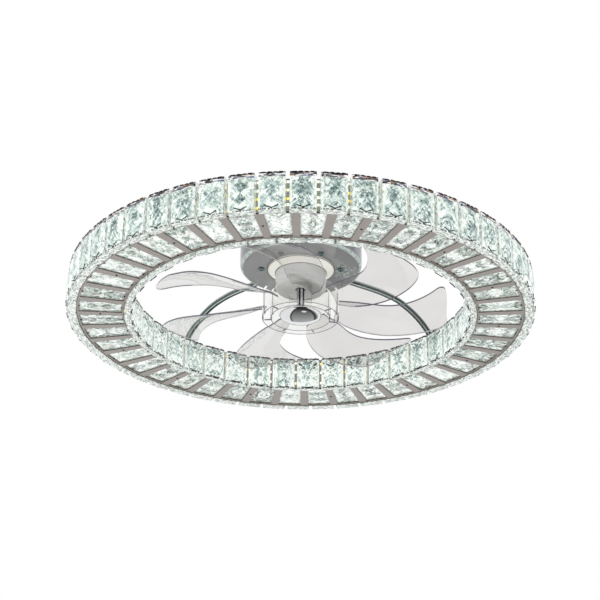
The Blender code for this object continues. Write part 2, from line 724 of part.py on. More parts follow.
def blade_hub(parts, guides, axis) -> None:
    """Clear hub: a top disc, an outer wall, an inner ring, a boss and a flange for the dome."""
    inner_wall = HUB_RADIUS - HUB_WALL
    ring_inner = HUB_RING_RADIUS - HUB_WALL
    ceiling = HUB_TOP_Z - HUB_WALL
    profile = [
        (HUB_RADIUS, HUB_TOP_Z),
        (HUB_RADIUS, HUB_Z),
        (inner_wall, HUB_Z),
        (inner_wall, ceiling),
        (HUB_RING_RADIUS, ceiling),
        (HUB_RING_RADIUS, HUB_Z),
        (ring_inner, HUB_Z),
        (ring_inner, ceiling),
        (HUB_BOSS_RADIUS, ceiling),
        (HUB_BOSS_RADIUS, HUB_FLANGE_Z + HUB_WALL),
        (HUB_FLANGE_RADIUS, HUB_FLANGE_Z + HUB_WALL),
        (HUB_FLANGE_RADIUS, HUB_FLANGE_Z),
        (SHAFT_BORE, HUB_FLANGE_Z),
        (SHAFT_BORE, HUB_TOP_Z),
    ]
    acrylic = clear_acrylic("hub acrylic")
    hub = turned("blade_hub", profile, HUB_STEPS, acrylic, parts, parent=axis)
    hub.location.z = -RING_Z
    work = bmesh.new()
    rib_inner = HUB_RING_RADIUS - HUB_WALL / 2
    rib_outer = HUB_RADIUS - HUB_WALL / 2
    rib_middle = (rib_inner + rib_outer) / 2
    size = Matrix.Diagonal((rib_outer - rib_inner, HUB_WALL, HUB_RIB_HEIGHT, 1.0))
    lift = HUB_Z + HUB_WALL + HUB_RIB_HEIGHT / 2
    for i in range(BLADE_COUNT):
        azimuth = BLADE_AZIMUTH + 2 * math.pi * i / BLADE_COUNT
        bmesh.ops.create_cube(work, size=1.0, matrix=spin(azimuth, rib_middle, lift) @ size)
    ribs = guide_object("hub_ribs", work, guides)
    combine(hub, ribs, "UNION")


def station_value(shares: tuple, values: tuple, share: float) -> float:
    """Read a table smoothly between its stations."""
    last = len(shares) - 2
    span = max(i for i in range(last + 1) if i == 0 or shares[i] <= share)
    across = (share - shares[span]) / (shares[span + 1] - shares[span])
    before, after = max(span - 1, 0), min(span + 2, last + 1)
    start_slope = (values[span + 1] - values[before]) / 2
    end_slope = (values[after] - values[span]) / 2
    square, cube = across**2, across**3
    return (
        values[span] * (2 * cube - 3 * square + 1)
        + start_slope * (cube - 2 * square + across)
        + values[span + 1] * (3 * square - 2 * cube)
        + end_slope * (cube - square)
    )


def blade_point(along: float, across: float) -> Vector:
    """A point of the blade's middle surface, from root to tip and from leading to trailing edge."""
    root = HUB_RADIUS + CLEARANCE
    tip_steps = tuple(i / (len(BLADE_TIP_SHARES) - 1) for i in range(len(BLADE_TIP_SHARES)))
    tip = BLADE_TIP_RADIUS * station_value(tip_steps, BLADE_TIP_SHARES, across)
    radius = root + (tip - root) * along
    share = (radius - root) / (BLADE_TIP_RADIUS - root)
    lead = station_value(BLADE_STATION_SHARES, BLADE_LEAD_DEGREES, share)
    trail = station_value(BLADE_STATION_SHARES, BLADE_TRAIL_DEGREES, share)
    lead_rise = station_value(BLADE_STATION_SHARES, BLADE_LEAD_RISE_SHARES, share)
    trail_rise = station_value(BLADE_STATION_SHARES, BLADE_TRAIL_RISE_SHARES, share)
    azimuth = math.radians(lead + (trail - lead) * across)
    rise = BLADE_PITCH * (lead_rise + (trail_rise - lead_rise) * across)
    rise += BLADE_CAMBER * 4 * across * (1 - across)
    return Vector((*polar(radius, azimuth), HUB_Z + BLADE_ROOT_RISE + rise - RING_Z))


def blades(parts, axis) -> None:
    """Clear swept blades round the hub, which share one mesh."""
    work = bmesh.new()
    bmesh.ops.create_grid(work, x_segments=BLADE_ROWS, y_segments=BLADE_COLUMNS, size=0.5)
    for vert in work.verts:
        vert.co = blade_point(vert.co.x + 0.5, vert.co.y + 0.5)
    mesh = bpy.data.meshes.new("blade")
    work.to_mesh(mesh)
    work.free()
    round_off(mesh)
    acrylic = clear_acrylic("blade acrylic")
    for i in range(BLADE_COUNT):
        blade = add_object(f"blade_{i + 1}", mesh, acrylic, parts, axis)
        blade.rotation_euler.z = BLADE_AZIMUTH + 2 * math.pi * i / BLADE_COUNT
        wall = blade.modifiers.new("gauge", "SOLIDIFY")
        wall.thickness = BLADE_GAUGE
        wall.offset = 0.0


def hub_nut(parts, guides, axis) -> None:
    """Hexagonal nut that holds the hub on the shaft."""
    z = HUB_FLANGE_Z - CLEARANCE - NUT_HEIGHT - RING_Z
    mesh = hex_mesh("hub_nut", NUT_RADIUS, NUT_HEIGHT)
    nut = add_object("hub_nut", mesh, zinc_steel("nut zinc"), parts, axis)
    nut.location.z = z
    work = bmesh.new()
    place = Matrix.Translation((0.0, 0.0, z + RING_Z + NUT_HEIGHT / 2))
    add_bars(work, [place], SHAFT_BORE, NUT_HEIGHT + CUT_OVERRUN, SMALL_STEPS)
    combine(nut, guide_object("nut_bore", work, guides), "DIFFERENCE")


def dome_cap(parts, axis) -> None:
    """Chrome dome under the hub, a bowl that hides the nut."""
    rim = HUB_FLANGE_Z - CLEARANCE
    angles = [math.pi / 2 * i / DOME_ARC_STEPS for i in range(DOME_ARC_STEPS + 1)]
    outer = [(HUB_FLANGE_RADIUS * math.cos(a), rim - DOME_DEPTH * math.sin(a)) for a in angles]
    inner_radius, inner_depth = HUB_FLANGE_RADIUS - DOME_WALL, DOME_DEPTH - DOME_WALL
    inner = [(inner_radius * math.cos(a), rim - inner_depth * math.sin(a)) for a in angles]
    outer[-1] = (0.0, rim - DOME_DEPTH)
    inner[-1] = (0.0, rim - inner_depth)
    profile = list(reversed(inner)) + outer
    dome = turned("dome_cap", profile, DOME_STEPS, chrome("dome chrome"), parts, parent=axis, closed=False)
    dome.location.z = -RING_Z


def ring_plate(parts) -> None:
    """Bottom plate of the ring, pierced by a round of windows with spokes between them."""
    outlines = [
        circle_points(RING_RADIUS, RING_STEPS, phase=SPOKE_AZIMUTH),
        circle_points(RING_OPENING_RADIUS, RING_STEPS, phase=SPOKE_AZIMUTH),
    ]
    for azimuth in window_azimuths():
        corners = []
        for radius_side, angle_side in ((-1, -1), (1, -1), (1, 1), (-1, 1)):
            radius = RING_MIDDLE_RADIUS + radius_side * WINDOW_LENGTH / 2
            corners.append(polar(radius, azimuth + angle_side * WINDOW_HALF_ANGLE))
        outlines.append(corners)
    flat_piece("ring_plate", outlines, RING_GAUGE, RING_Z, satin_steel("ring plate satin steel"), parts)


def window_azimuths() -> list:
    """Azimuths of the windows' middles."""
    return [SPOKE_AZIMUTH + WINDOW_PITCH * (i + 1 / 2) for i in range(WINDOW_COUNT)]


def ring_lid(parts) -> None:
    """Top plate of the ring, which the arms stand on."""
    outlines = [
        circle_points(RING_RADIUS, RING_STEPS, phase=SPOKE_AZIMUTH),
        circle_points(RING_OPENING_RADIUS, RING_STEPS, phase=SPOKE_AZIMUTH),
    ]
    z = RING_TOP_Z - RING_GAUGE
    flat_piece("ring_lid", outlines, RING_GAUGE, z, satin_steel("ring lid satin steel"), parts)


def light_bands(parts) -> None:
    """Two upright hoops with light strips that join the plate to the lid and back the crystals."""
    low = RING_Z + RING_GAUGE + CLEARANCE
    height = RING_TOP_Z - RING_GAUGE - CLEARANCE - low
    hoops = (
        ("outer_light_band", RING_RADIUS - CLEARANCE - BAND_GAUGE, RING_RADIUS - CLEARANCE),
        ("inner_light_band", RING_OPENING_RADIUS + CLEARANCE, RING_OPENING_RADIUS + CLEARANCE + BAND_GAUGE),
    )
    for name, inner, outer in hoops:
        outlines = [
            circle_points(outer, RING_STEPS, phase=SPOKE_AZIMUTH),
            circle_points(inner, RING_STEPS, phase=SPOKE_AZIMUTH),
        ]
        board = finish(f"{name.replace('_', ' ')} board", (0.55, 0.55, 0.48), 0.5, 0.0)
        flat_piece(name, outlines, height, low, board, parts)


def window_light_board(parts) -> None:
    """Flat light board under the lid, over the window crystals."""
    inset = CLEARANCE + BAND_GAUGE + LIGHT_BOARD_INSET
    outlines = [
        circle_points(RING_RADIUS - inset, RING_STEPS, phase=SPOKE_AZIMUTH),
        circle_points(RING_OPENING_RADIUS + inset, RING_STEPS, phase=SPOKE_AZIMUTH),
    ]
    z = RING_TOP_Z - RING_GAUGE - CLEARANCE - LIGHT_BOARD_GAUGE
    board = finish("window light board", (0.85, 0.86, 0.82), 0.5, 0.0)
    flat_piece("window_light_board", outlines, LIGHT_BOARD_GAUGE, z, board, parts)


def crystal_mesh(size: Vector, top_width: float, bevel: float, bevel_depth: float, crown: float):
    """A cut crystal with its back on x = 0, facing +X: bevelled edges round a four facet crown.

    The size is depth, width and height, and the width tapers to top_width at the top.
    """
    body_depth = size.x - bevel_depth - crown
    work = bmesh.new()
    scale = Matrix.Diagonal((body_depth, size.y, size.z, 1.0))
    bmesh.ops.create_cube(work, size=1.0, matrix=Matrix.Translation((body_depth / 2, 0.0, 0.0)) @ scale)
    front = max(work.faces, key=lambda face: face.normal.x)
    if bevel > 0.0:
        bmesh.ops.inset_individual(work, faces=[front], thickness=bevel, depth=bevel_depth)
    bmesh.ops.poke(work, faces=[front], offset=crown)
    for vert in work.verts:
        across = vert.co.z / size.z + 1 / 2
        vert.co.y *= 1 + (top_width / size.y - 1) * across
    mesh = bpy.data.meshes.new("crystal")
    work.to_mesh(mesh)
    work.free()
    return mesh


def crystal_row(name, mesh, places, carrier, material, parts):
    """Put a copy of one crystal at each place and join the row along its carrier strip."""
    work = bmesh.new()
    for place in places:
        first = len(work.verts)
        work.from_mesh(mesh)
        work.verts.ensure_lookup_table()
        bmesh.ops.transform(work, matrix=place, verts=work.verts[first:])
    row = bpy.data.meshes.new(name)
    work.to_mesh(row)
    work.free()
    obj = add_object(name, row, material, parts)
    combine(obj, carrier, "UNION")
    return obj


def carrier_strip(name, inner, outer, first_azimuth, last_azimuth, steps, z, height, guides):
    """A thin curved strip that strings a row of crystals together."""
    azimuths = [first_azimuth + (last_azimuth - first_azimuth) * i / steps for i in range(steps + 1)]
    outline = [polar(outer, a) for a in azimuths] + [polar(inner, a) for a in reversed(azimuths)]
    strip = flat_piece(name, [outline], height, z, None, guides)
    return hide_guide(as_mesh(strip, guides))


def outer_crystals(parts, guides) -> None:
    """Upright crystals round the outside of the ring, in rows on carrier strips."""
    size = Vector((OUTER_CRYSTAL_DEPTH, OUTER_CRYSTAL_WIDTH, OUTER_CRYSTAL_HEIGHT))
    mesh = crystal_mesh(size, size.y, CRYSTAL_BEVEL, CRYSTAL_BEVEL_DEPTH, CRYSTAL_CROWN)
    back = RING_RADIUS + CLEARANCE
    strip_inner = back + CARRIER_INSET
    middle_z = RING_Z - OUTER_CRYSTAL_DROP + size.z / 2
    per_row = OUTER_CRYSTAL_COUNT // OUTER_CRYSTAL_GROUPS
    crystal = crystal_glass("outer crystal glass")
    for group in range(OUTER_CRYSTAL_GROUPS):
        first = OUTER_CRYSTAL_AZIMUTH + OUTER_CRYSTAL_PITCH * group * per_row
        azimuths = [first + OUTER_CRYSTAL_PITCH * i for i in range(per_row)]
        places = [spin(a, back, middle_z) for a in azimuths]
        name = f"outer_crystals_{group + 1}"
        strip = carrier_strip(
            f"{name}_strip", strip_inner, strip_inner + CARRIER_WIDTH, azimuths[0], azimuths[-1],
            per_row - 1, middle_z - CARRIER_HEIGHT / 2, CARRIER_HEIGHT, guides,
        )
        crystal_row(name, mesh, places, strip, crystal, parts)


def inner_crystals(parts, guides) -> None:
    """Upright crystals round the ring's opening, facing the fan."""
    size = Vector((INNER_CRYSTAL_DEPTH, INNER_CRYSTAL_WIDTH, INNER_CRYSTAL_HEIGHT))
    mesh = crystal_mesh(size, size.y, CRYSTAL_BEVEL, CRYSTAL_BEVEL_DEPTH, CRYSTAL_CROWN)
    corner = RING_OPENING_RADIUS * math.cos(math.pi / RING_STEPS) - CLEARANCE
    back = math.sqrt(corner**2 - (size.y / 2) ** 2)
    strip_outer = back - CARRIER_INSET
    middle_z = RING_Z - INNER_CRYSTAL_DROP + size.z / 2
    per_row = INNER_CRYSTAL_COUNT // INNER_CRYSTAL_GROUPS
    face_in = Matrix.Rotation(math.pi, 4, "Z")
    crystal = crystal_glass("inner crystal glass")
    for group in range(INNER_CRYSTAL_GROUPS):
        first = INNER_CRYSTAL_AZIMUTH + INNER_CRYSTAL_PITCH * group * per_row
        azimuths = [first + INNER_CRYSTAL_PITCH * i for i in range(per_row)]
        places = [spin(a, back, middle_z) @ face_in for a in azimuths]
        name = f"inner_crystals_{group + 1}"
        strip = carrier_strip(
            f"{name}_strip", strip_outer - CARRIER_WIDTH, strip_outer, azimuths[0], azimuths[-1],
            per_row - 1, middle_z - CARRIER_HEIGHT / 2, CARRIER_HEIGHT, guides,
        )
        crystal_row(name, mesh, places, strip, crystal, parts)


def window_crystals(parts, guides) -> None:
    """Flat crystals that lie over the windows, facing down."""
    half = WINDOW_LENGTH / 2 + WINDOW_CRYSTAL_LAP
    inner_width = 2 * ((RING_MIDDLE_RADIUS - half) * math.sin(WINDOW_HALF_ANGLE) + WINDOW_CRYSTAL_LAP)
    outer_width = 2 * ((RING_MIDDLE_RADIUS + half) * math.sin(WINDOW_HALF_ANGLE) + WINDOW_CRYSTAL_LAP)
    depth = WINDOW_CRYSTAL_DEPTH + WINDOW_CROWN
    mesh = crystal_mesh(Vector((depth, inner_width, 2 * half)), outer_width, 0.0, 0.0, WINDOW_CROWN)
    seat = RING_Z + RING_GAUGE + CLEARANCE
    back = seat + WINDOW_CRYSTAL_DEPTH
    face_down = Matrix.Rotation(math.pi / 2, 4, "Y")
    per_row = WINDOW_COUNT // WINDOW_CRYSTAL_GROUPS
    windows = window_azimuths()
    strip_outer = RING_MIDDLE_RADIUS + half - CARRIER_INSET
    strip_z = seat + (WINDOW_CRYSTAL_DEPTH - CARRIER_HEIGHT) / 2
    crystal = crystal_glass("window crystal glass")
    for group in range(WINDOW_CRYSTAL_GROUPS):
        azimuths = windows[group * per_row : (group + 1) * per_row]
        places = [spin(a, RING_MIDDLE_RADIUS, back) @ face_down for a in azimuths]
        name = f"window_crystals_{group + 1}"
        strip = carrier_strip(
            f"{name}_strip", strip_outer - CARRIER_WIDTH, strip_outer, azimuths[0], azimuths[-1],
            per_row - 1, strip_z, CARRIER_HEIGHT, guides,
        )
        crystal_row(name, mesh, places, strip, crystal, parts)


def arm_route() -> list:
    """Points along an arm in its own upright plane, from inside the canopy to the ring's lid."""
    start_r = CANOPY_RADIUS - CANOPY_WALL - ARM_INNER_END
    end_r = RING_OPENING_RADIUS + ARM_LANDING_INSET
    end_z = RING_TOP_Z + CLEARANCE
    last = len(ARM_REACH_SHARES) - 1
    table = tuple(float(i) for i in range(last + 1))
    steps = range(ARM_STEPS_PER_SPAN, (last - 1) * ARM_STEPS_PER_SPAN + 1)
    places = [0.0] + [step / ARM_STEPS_PER_SPAN for step in steps] + [float(last)]
    route = []
    for place in places:
        reach = station_value(table, ARM_REACH_SHARES, place)
        rise = station_value(table, ARM_RISE_SHARES, place)
        route.append((start_r + (end_r - start_r) * reach, 0.0, end_z + (ARM_Z - end_z) * rise))
    return route


def arms(parts) -> None:
    """Bent chrome bars that hang the ring from the canopy."""
    route = arm_route()
    for number, azimuth in enumerate(arm_azimuths(), start=1):
        arm = tube(f"arm_{number}", route, ARM_RADIUS, chrome("arm chrome"), parts)
        arm.rotation_euler.z = azimuth


def arm_nuts(parts, guides) -> None:
    """Nuts that clamp the arms inside the canopy's wall."""
    wall_face = (CANOPY_RADIUS - CANOPY_WALL) * math.cos(math.pi / CANOPY_STEPS)
    outer_face = math.sqrt(wall_face**2 - ARM_NUT_RADIUS**2) - CLEARANCE
    inner_face = outer_face - ARM_NUT_HEIGHT
    lay_down = Matrix.Rotation(math.pi / 2, 4, "Y")
    steel = zinc_steel("arm nut zinc")
    for number, azimuth in enumerate(arm_azimuths(), start=1):
        mesh = hex_mesh(f"arm_nut_{number}", ARM_NUT_RADIUS, ARM_NUT_HEIGHT)
        nut = add_object(f"arm_nut_{number}", mesh, steel, parts)
        nut.matrix_world = spin(azimuth, inner_face, ARM_Z) @ lay_down
        work = bmesh.new()
        place = spin(azimuth, (inner_face + outer_face) / 2, ARM_Z) @ lay_down
        add_bars(work, [place], ARM_RADIUS + CLEARANCE, ARM_NUT_HEIGHT + CUT_OVERRUN, SMALL_STEPS)
        combine(nut, guide_object(f"arm_nut_{number}_bore", work, guides), "DIFFERENCE")


def spin_axis(parts):
    """Empty on the fan's axis that carries everything that turns."""
    axis = bpy.data.objects.new("spin_axis", None)
    parts.objects.link(axis)
    axis.location.z = RING_Z
    return axis


def build() -> None:
    """Build the whole fan."""
    clear_scene()
    parts = new_collection(OBJECT_NAME)
    guides = new_collection("cutters")
    ceiling_plate(parts)
    chassis_plate(parts)
    chassis_pillars(parts)
    canopy_shell(parts, guides)
    canopy_screws(parts)
    electrics(parts)
    motor_lead(parts)
    motor_housing(parts)
    motor_lid(parts)
    motor_collar(parts)
    stator(parts)
    bearings(parts)
    arms(parts)
    arm_nuts(parts, guides)
    ring_plate(parts)
    ring_lid(parts)
    light_bands(parts)
    window_light_board(parts)
    outer_crystals(parts, guides)
    inner_crystals(parts, guides)
    window_crystals(parts, guides)
    axis = spin_axis(parts)
    motor_shaft(parts, axis)
    rotor_magnet(parts, axis)
    blade_hub(parts, guides, axis)
    blades(parts, axis)
    hub_nut(parts, guides, axis)
    dome_cap(parts, axis)


build()
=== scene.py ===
"""Looks of a crystal ceiling fan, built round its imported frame.

Every size is in metres and every angle in radians, in the frame of the part: the origin is
the middle of the face that meets the ceiling, +Z points up and the fan turns about the Z axis.
"""

from __future__ import annotations

import json
import logging
import math
from dataclasses import dataclass, field
from enum import Enum, IntEnum
from typing import Callable, Optional, Sequence, Union

import bmesh
import bpy
from mathutils import Matrix, Vector

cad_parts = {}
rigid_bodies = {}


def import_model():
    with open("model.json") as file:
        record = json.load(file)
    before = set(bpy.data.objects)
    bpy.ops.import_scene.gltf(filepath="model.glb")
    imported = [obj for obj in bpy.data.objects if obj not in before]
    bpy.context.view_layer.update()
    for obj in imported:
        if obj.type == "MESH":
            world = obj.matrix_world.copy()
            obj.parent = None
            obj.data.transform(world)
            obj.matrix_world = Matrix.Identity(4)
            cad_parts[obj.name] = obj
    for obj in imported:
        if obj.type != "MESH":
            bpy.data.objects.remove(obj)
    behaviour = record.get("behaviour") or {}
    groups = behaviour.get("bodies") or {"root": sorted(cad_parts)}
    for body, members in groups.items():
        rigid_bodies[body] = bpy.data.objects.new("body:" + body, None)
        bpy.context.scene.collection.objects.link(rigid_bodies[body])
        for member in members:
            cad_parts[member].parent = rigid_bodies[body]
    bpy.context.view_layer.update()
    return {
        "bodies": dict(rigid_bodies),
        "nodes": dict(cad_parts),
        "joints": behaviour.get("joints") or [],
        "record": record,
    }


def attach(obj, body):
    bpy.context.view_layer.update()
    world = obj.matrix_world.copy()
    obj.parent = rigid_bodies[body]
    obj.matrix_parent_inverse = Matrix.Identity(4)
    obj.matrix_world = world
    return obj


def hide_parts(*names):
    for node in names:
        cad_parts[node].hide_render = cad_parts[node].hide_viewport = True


LOG = logging.getLogger("crystal_fan")
MM = 0.001
FULL_TURN = 2 * math.pi
SMOOTH_ANGLE = math.radians(32)
FIXED = "fixed_frame"
ROTOR = "rotor"

# Heights of the ring's underside and top, and the usual gap between two pieces
RING_Z = -131.0 * MM
RING_TOP_Z = -94.5 * MM
CLEARANCE = 0.3 * MM

Colour = tuple[float, float, float]
Stops = tuple[tuple[float, Colour], ...]
Profile = list[tuple[float, float]]
WHITE: Colour = (1.0, 1.0, 1.0)


def srgb(red: float, green: float, blue: float) -> Colour:
    """Return the linear colour of a screen colour.

    Args:
        red: Red from 0 to 255.
        green: Green from 0 to 255.
        blue: Blue from 0 to 255.

    Returns:
        The three linear shares.
    """

    def linear(channel: float) -> float:
        """Return the linear share of one channel."""
        share = channel / 255
        return share / 12.92 if share <= 0.04045 else ((share + 0.055) / 1.055) ** 2.4

    return linear(red), linear(green), linear(blue)


def stops(*rows: tuple[float, ...]) -> Stops:
    """Return a ramp's stops from rows of a place and a screen colour's three channels."""
    return tuple((place, srgb(*channels)) for place, *channels in rows)


def scaled(colour: Colour, factor: float) -> Colour:
    """Return a colour with its shares multiplied by a factor, up to 1."""
    red, green, blue = (min(1.0, factor * share) for share in colour)
    return red, green, blue


# Node graphs


def operator(operation: str, swapped: bool = False) -> Callable[[Value, Number], Value]:
    """Return the method of an operator.

    Args:
        operation: What its Math node does.
        swapped: Whether the other term comes first, as in a reflected form.

    Returns:
        The method.
    """

    def result(self: Value, other: Number) -> Value:
        """Return the result of the operator."""
        return self.maths(operation, other, self) if swapped else self.maths(operation, self, other)

    return result


class Value:
    """A number carried by a socket, so that node maths is written as an expression."""

    __add__ = __radd__ = operator("ADD")
    __sub__, __rsub__ = operator("SUBTRACT"), operator("SUBTRACT", swapped=True)
    __mul__ = __rmul__ = operator("MULTIPLY")
    __truediv__, __rtruediv__ = operator("DIVIDE"), operator("DIVIDE", swapped=True)
    __mod__, __pow__ = operator("FLOORED_MODULO"), operator("POWER")

    def __init__(self, graph: Graph, socket: bpy.types.NodeSocket) -> None:
        """Keep the graph and the socket."""
        self.graph = graph
        self.socket = socket

    def maths(self, operation: str, *terms: Number) -> Value:
        """Return the result of a Math node on the given terms."""
        return self.graph.number("ShaderNodeMath", dict(enumerate(terms)), operation=operation)

    def __abs__(self) -> Value:
        """Return the size without its sign."""
        return self.maths("ABSOLUTE", self)

    def floor(self) -> Value:
        """Return the whole part."""
        return self.maths("FLOOR", self)

    def ramp(self, low: float, high: float) -> Value:
        """Return a smooth step from 0 at low to 1 at high, either way round."""
        ends = {"Value": self, "From Min": low, "From Max": high, "To Min": 0.0, "To Max": 1.0}
        return self.graph.number("ShaderNodeMapRange", ends, interpolation_type="SMOOTHSTEP")


Number = Union[float, Value]
Link = Union[Value, bpy.types.NodeSocket, float, tuple]


def from_axis(x: Value, y: Value) -> Value:
    """Return the distance of a plan point from the Z axis."""
    return (x * x + y * y) ** 0.5


class Graph:
    """A node tree that is written in plain expressions."""

    def __init__(self, tree: bpy.types.NodeTree) -> None:
        """Keep the tree and empty it."""
        self.tree = tree
        tree.nodes.clear()

    def node(self, kind: str, inputs: Optional[dict] = None, **settings: object) -> bpy.types.Node:
        """Add a node.

        Args:
            kind: The node's type.
            inputs: Values or links of its sockets, by name or number.
            settings: The node's own settings, set first. A ramp's stops are (place, colour) pairs.

        Returns:
            The node.
        """
        node = self.tree.nodes.new(kind)
        for name, setting in settings.items():
            if name == "stops":
                self.set_stops(node.color_ramp, setting)
            else:
                setattr(node, name, setting)
        for key, value in (inputs or {}).items():
            self.feed(node.inputs[key], value)
        return node

    def feed(self, socket: bpy.types.NodeSocket, value: Link) -> None:
        """Link a socket or set its value.

        Args:
            socket: The socket.
            value: A link or a value. A colour may come without its alpha.
        """
        if isinstance(value, Value):
            value = value.socket
        if isinstance(value, bpy.types.NodeSocket):
            self.tree.links.new(value, socket)
        elif socket.type == "RGBA" and len(value) == 3:
            socket.default_value = (*value, 1.0)
        else:
            socket.default_value = value

    @staticmethod
    def set_stops(ramp: bpy.types.ColorRamp, stops: Stops) -> None:
        """Give a colour ramp its stops.

        Args:
            ramp: The ramp.
            stops: The place and the colour of each stop.
        """
        while len(ramp.elements) < len(stops):
            ramp.elements.new(1.0)
        for element, (place, colour) in zip(ramp.elements, stops):
            element.position = place
            element.color = (*colour, 1.0)

    def number(
        self, kind: str, inputs: dict, output: Union[int, str] = 0, **settings: object
    ) -> Value:
        """Add a node and return one of its outputs as a number."""
        return Value(self, self.node(kind, inputs, **settings).outputs[output])

    def vector(self, x: Link, y: Link, z: Link) -> bpy.types.NodeSocket:
        """Return a vector made of three numbers."""
        return self.node("ShaderNodeCombineXYZ", {0: x, 1: y, 2: z}).outputs[0]

    def split(self, vector: Link) -> tuple[Value, Value, Value]:
        """Return the three numbers of a vector."""
        outputs = self.node("ShaderNodeSeparateXYZ", {0: vector}).outputs
        return Value(self, outputs[0]), Value(self, outputs[1]), Value(self, outputs[2])


class Surface(Graph):
    """The node tree of one material, round a Principled shader."""

    def __init__(self, name: str) -> None:
        """Start a material with its shader and output.

        Args:
            name: The material's name.
        """
        self.material = bpy.data.materials.new(name)
        self.material.use_nodes = True
        super().__init__(self.material.node_tree)
        self.shader = self.node("ShaderNodeBsdfPrincipled")
        self.node("ShaderNodeOutputMaterial", {"Surface": self.shader.outputs[0]})

    def place(self) -> bpy.types.NodeSocket:
        """Return the object coordinates."""
        return self.node("ShaderNodeTexCoord").outputs["Object"]

    def attribute(self, name: str, output: str = "Fac") -> Value:
        """Return what a named attribute of the mesh holds."""
        return self.number("ShaderNodeAttribute", {}, output, attribute_name=name)

    def noise(self, vector: Link, scale: Union[float, Colour], detail: float = 2.0) -> Value:
        """Return soft noise between 0 and 1.

        Args:
            vector: The place that it reads.
            scale: How fine it is, in all directions or along each axis.
            detail: How many finer layers it has.

        Returns:
            The noise.
        """
        if isinstance(scale, tuple):
            terms = {0: vector, 1: scale}
            stretched = self.node("ShaderNodeVectorMath", terms, operation="MULTIPLY")
            vector, scale = stretched.outputs[0], 1.0
        inputs = {"Vector": vector, "Scale": scale, "Detail": detail}
        return self.number("ShaderNodeTexNoise", inputs, "Fac")

    def cells(
        self, vector: Link, scale: float, output: str = "Distance", feature: str = "F1"
    ) -> Value:
        """Return one output of a cell pattern."""
        inputs = {"Vector": vector, "Scale": scale}
        return self.number("ShaderNodeTexVoronoi", inputs, output, feature=feature)

    def seams(self, vector: Link, width: float) -> Value:
        """Return 1 along the borders of a cell pattern of scale 1, and 0 beyond a width."""
        return self.cells(vector, 1.0, feature="DISTANCE_TO_EDGE").ramp(width, 0.02)

    def lots(self, vector: Link, scale: float = 1.0) -> Value:
        """Return evenly spread numbers between 0 and 1, one for each cell of a cell pattern."""
        return self.split(self.cells(vector, scale, "Color"))[0]

    def blend(self, factor: Link, first: Link, second: Link) -> bpy.types.NodeSocket:
        """Return a mix of two colours, with the factor as the share of the second."""
        inputs = {0: factor, 6: first, 7: second}
        return self.node("ShaderNodeMix", inputs, data_type="RGBA", clamp_factor=True).outputs[2]

    def colours(self, stops: Stops, factor: Value) -> bpy.types.NodeSocket:
        """Return the colour that a ramp with the given stops has at a factor."""
        return self.node("ShaderNodeValToRGB", {"Fac": factor}, stops=stops).outputs["Color"]

    def bump(self, height: Value, distance: float, strength: float) -> None:
        """Feed a height, times a distance in metres, to the shader's normal."""
        inputs = {"Strength": strength, "Distance": distance, "Height": height}
        self.feed(self.shader.inputs["Normal"], self.node("ShaderNodeBump", inputs).outputs[0])

    def set(self, **sockets: Link) -> None:
        """Set or link the shader's sockets, named with underscores for spaces."""
        for name, value in sockets.items():
            self.feed(self.shader.inputs[name.replace("_", " ")], value)


# Finishes


@dataclass(frozen=True)
class Finish:
    """A named finish that makes its material."""

    name: str

    def make(self) -> bpy.types.Material:
        """Build the finish's material.

        Returns:
            The material.
        """
        surface = Surface(self.name)
        self.paint(surface)
        return surface.material

    def paint(self, surface: Surface) -> None:
        """Build the material's nodes."""
        raise NotImplementedError


class Grain(Enum):
    """How a metal's or plastic's surface is worked."""

    BRUSHED = "straight brushing across the sheet"
    TURNED = "fine rings left by turning"
    MOULDED = "a soft moulded grain"
    GALVANISED = "zinc spangles"


@dataclass(frozen=True)
class WorkedFinish(Finish):
    """An opaque finish with a grain, slight changes of tone and faint marks of handling."""

    colour: Colour
    roughness: float
    metallic: float
    grain: Grain
    contrast: float = 0.08
    depth: float = 0.02 * MM
    glow: float = 0.0
    # A glow is painted light, for a part that is no lamp.

    def height(self, surface: Surface, place: bpy.types.NodeSocket) -> Value:
        """Return the grain's height.

        Args:
            surface: The material's surface.
            place: The object coordinates.

        Returns:
            The height between 0 and 1.
        """
        if self.grain is Grain.BRUSHED:
            return surface.noise(place, (30.0, 1600.0, 600.0), 3.0)
        if self.grain is Grain.TURNED:
            x, y, z = surface.split(place)
            return surface.noise(surface.vector(from_axis(x, y) * 2600.0, z * 2600.0, 0.0), 1.0)
        if self.grain is Grain.GALVANISED:
            return surface.cells(place, 260.0, "Color")
        return surface.noise(place, 1500.0)

    def paint(self, surface: Surface) -> None:
        """Build the nodes of the grain, the tones and the marks.

        Args:
            surface: The material's surface.
        """
        place = surface.place()
        height = self.height(surface, place)
        marks = surface.noise(place, 34.0, 4.0)
        dark, light = scaled(self.colour, 1 - self.contrast), scaled(self.colour, 1 + self.contrast)
        toned = surface.blend(height * 0.7 + marks * 0.3, dark, light)
        surface.set(
            Base_Color=toned,
            Roughness=self.roughness + (marks - 0.5) * 0.14 + (height - 0.5) * 0.10,
            Metallic=self.metallic, Emission_Color=toned, Emission_Strength=self.glow,
        )
        surface.bump(height, self.depth, 0.6)


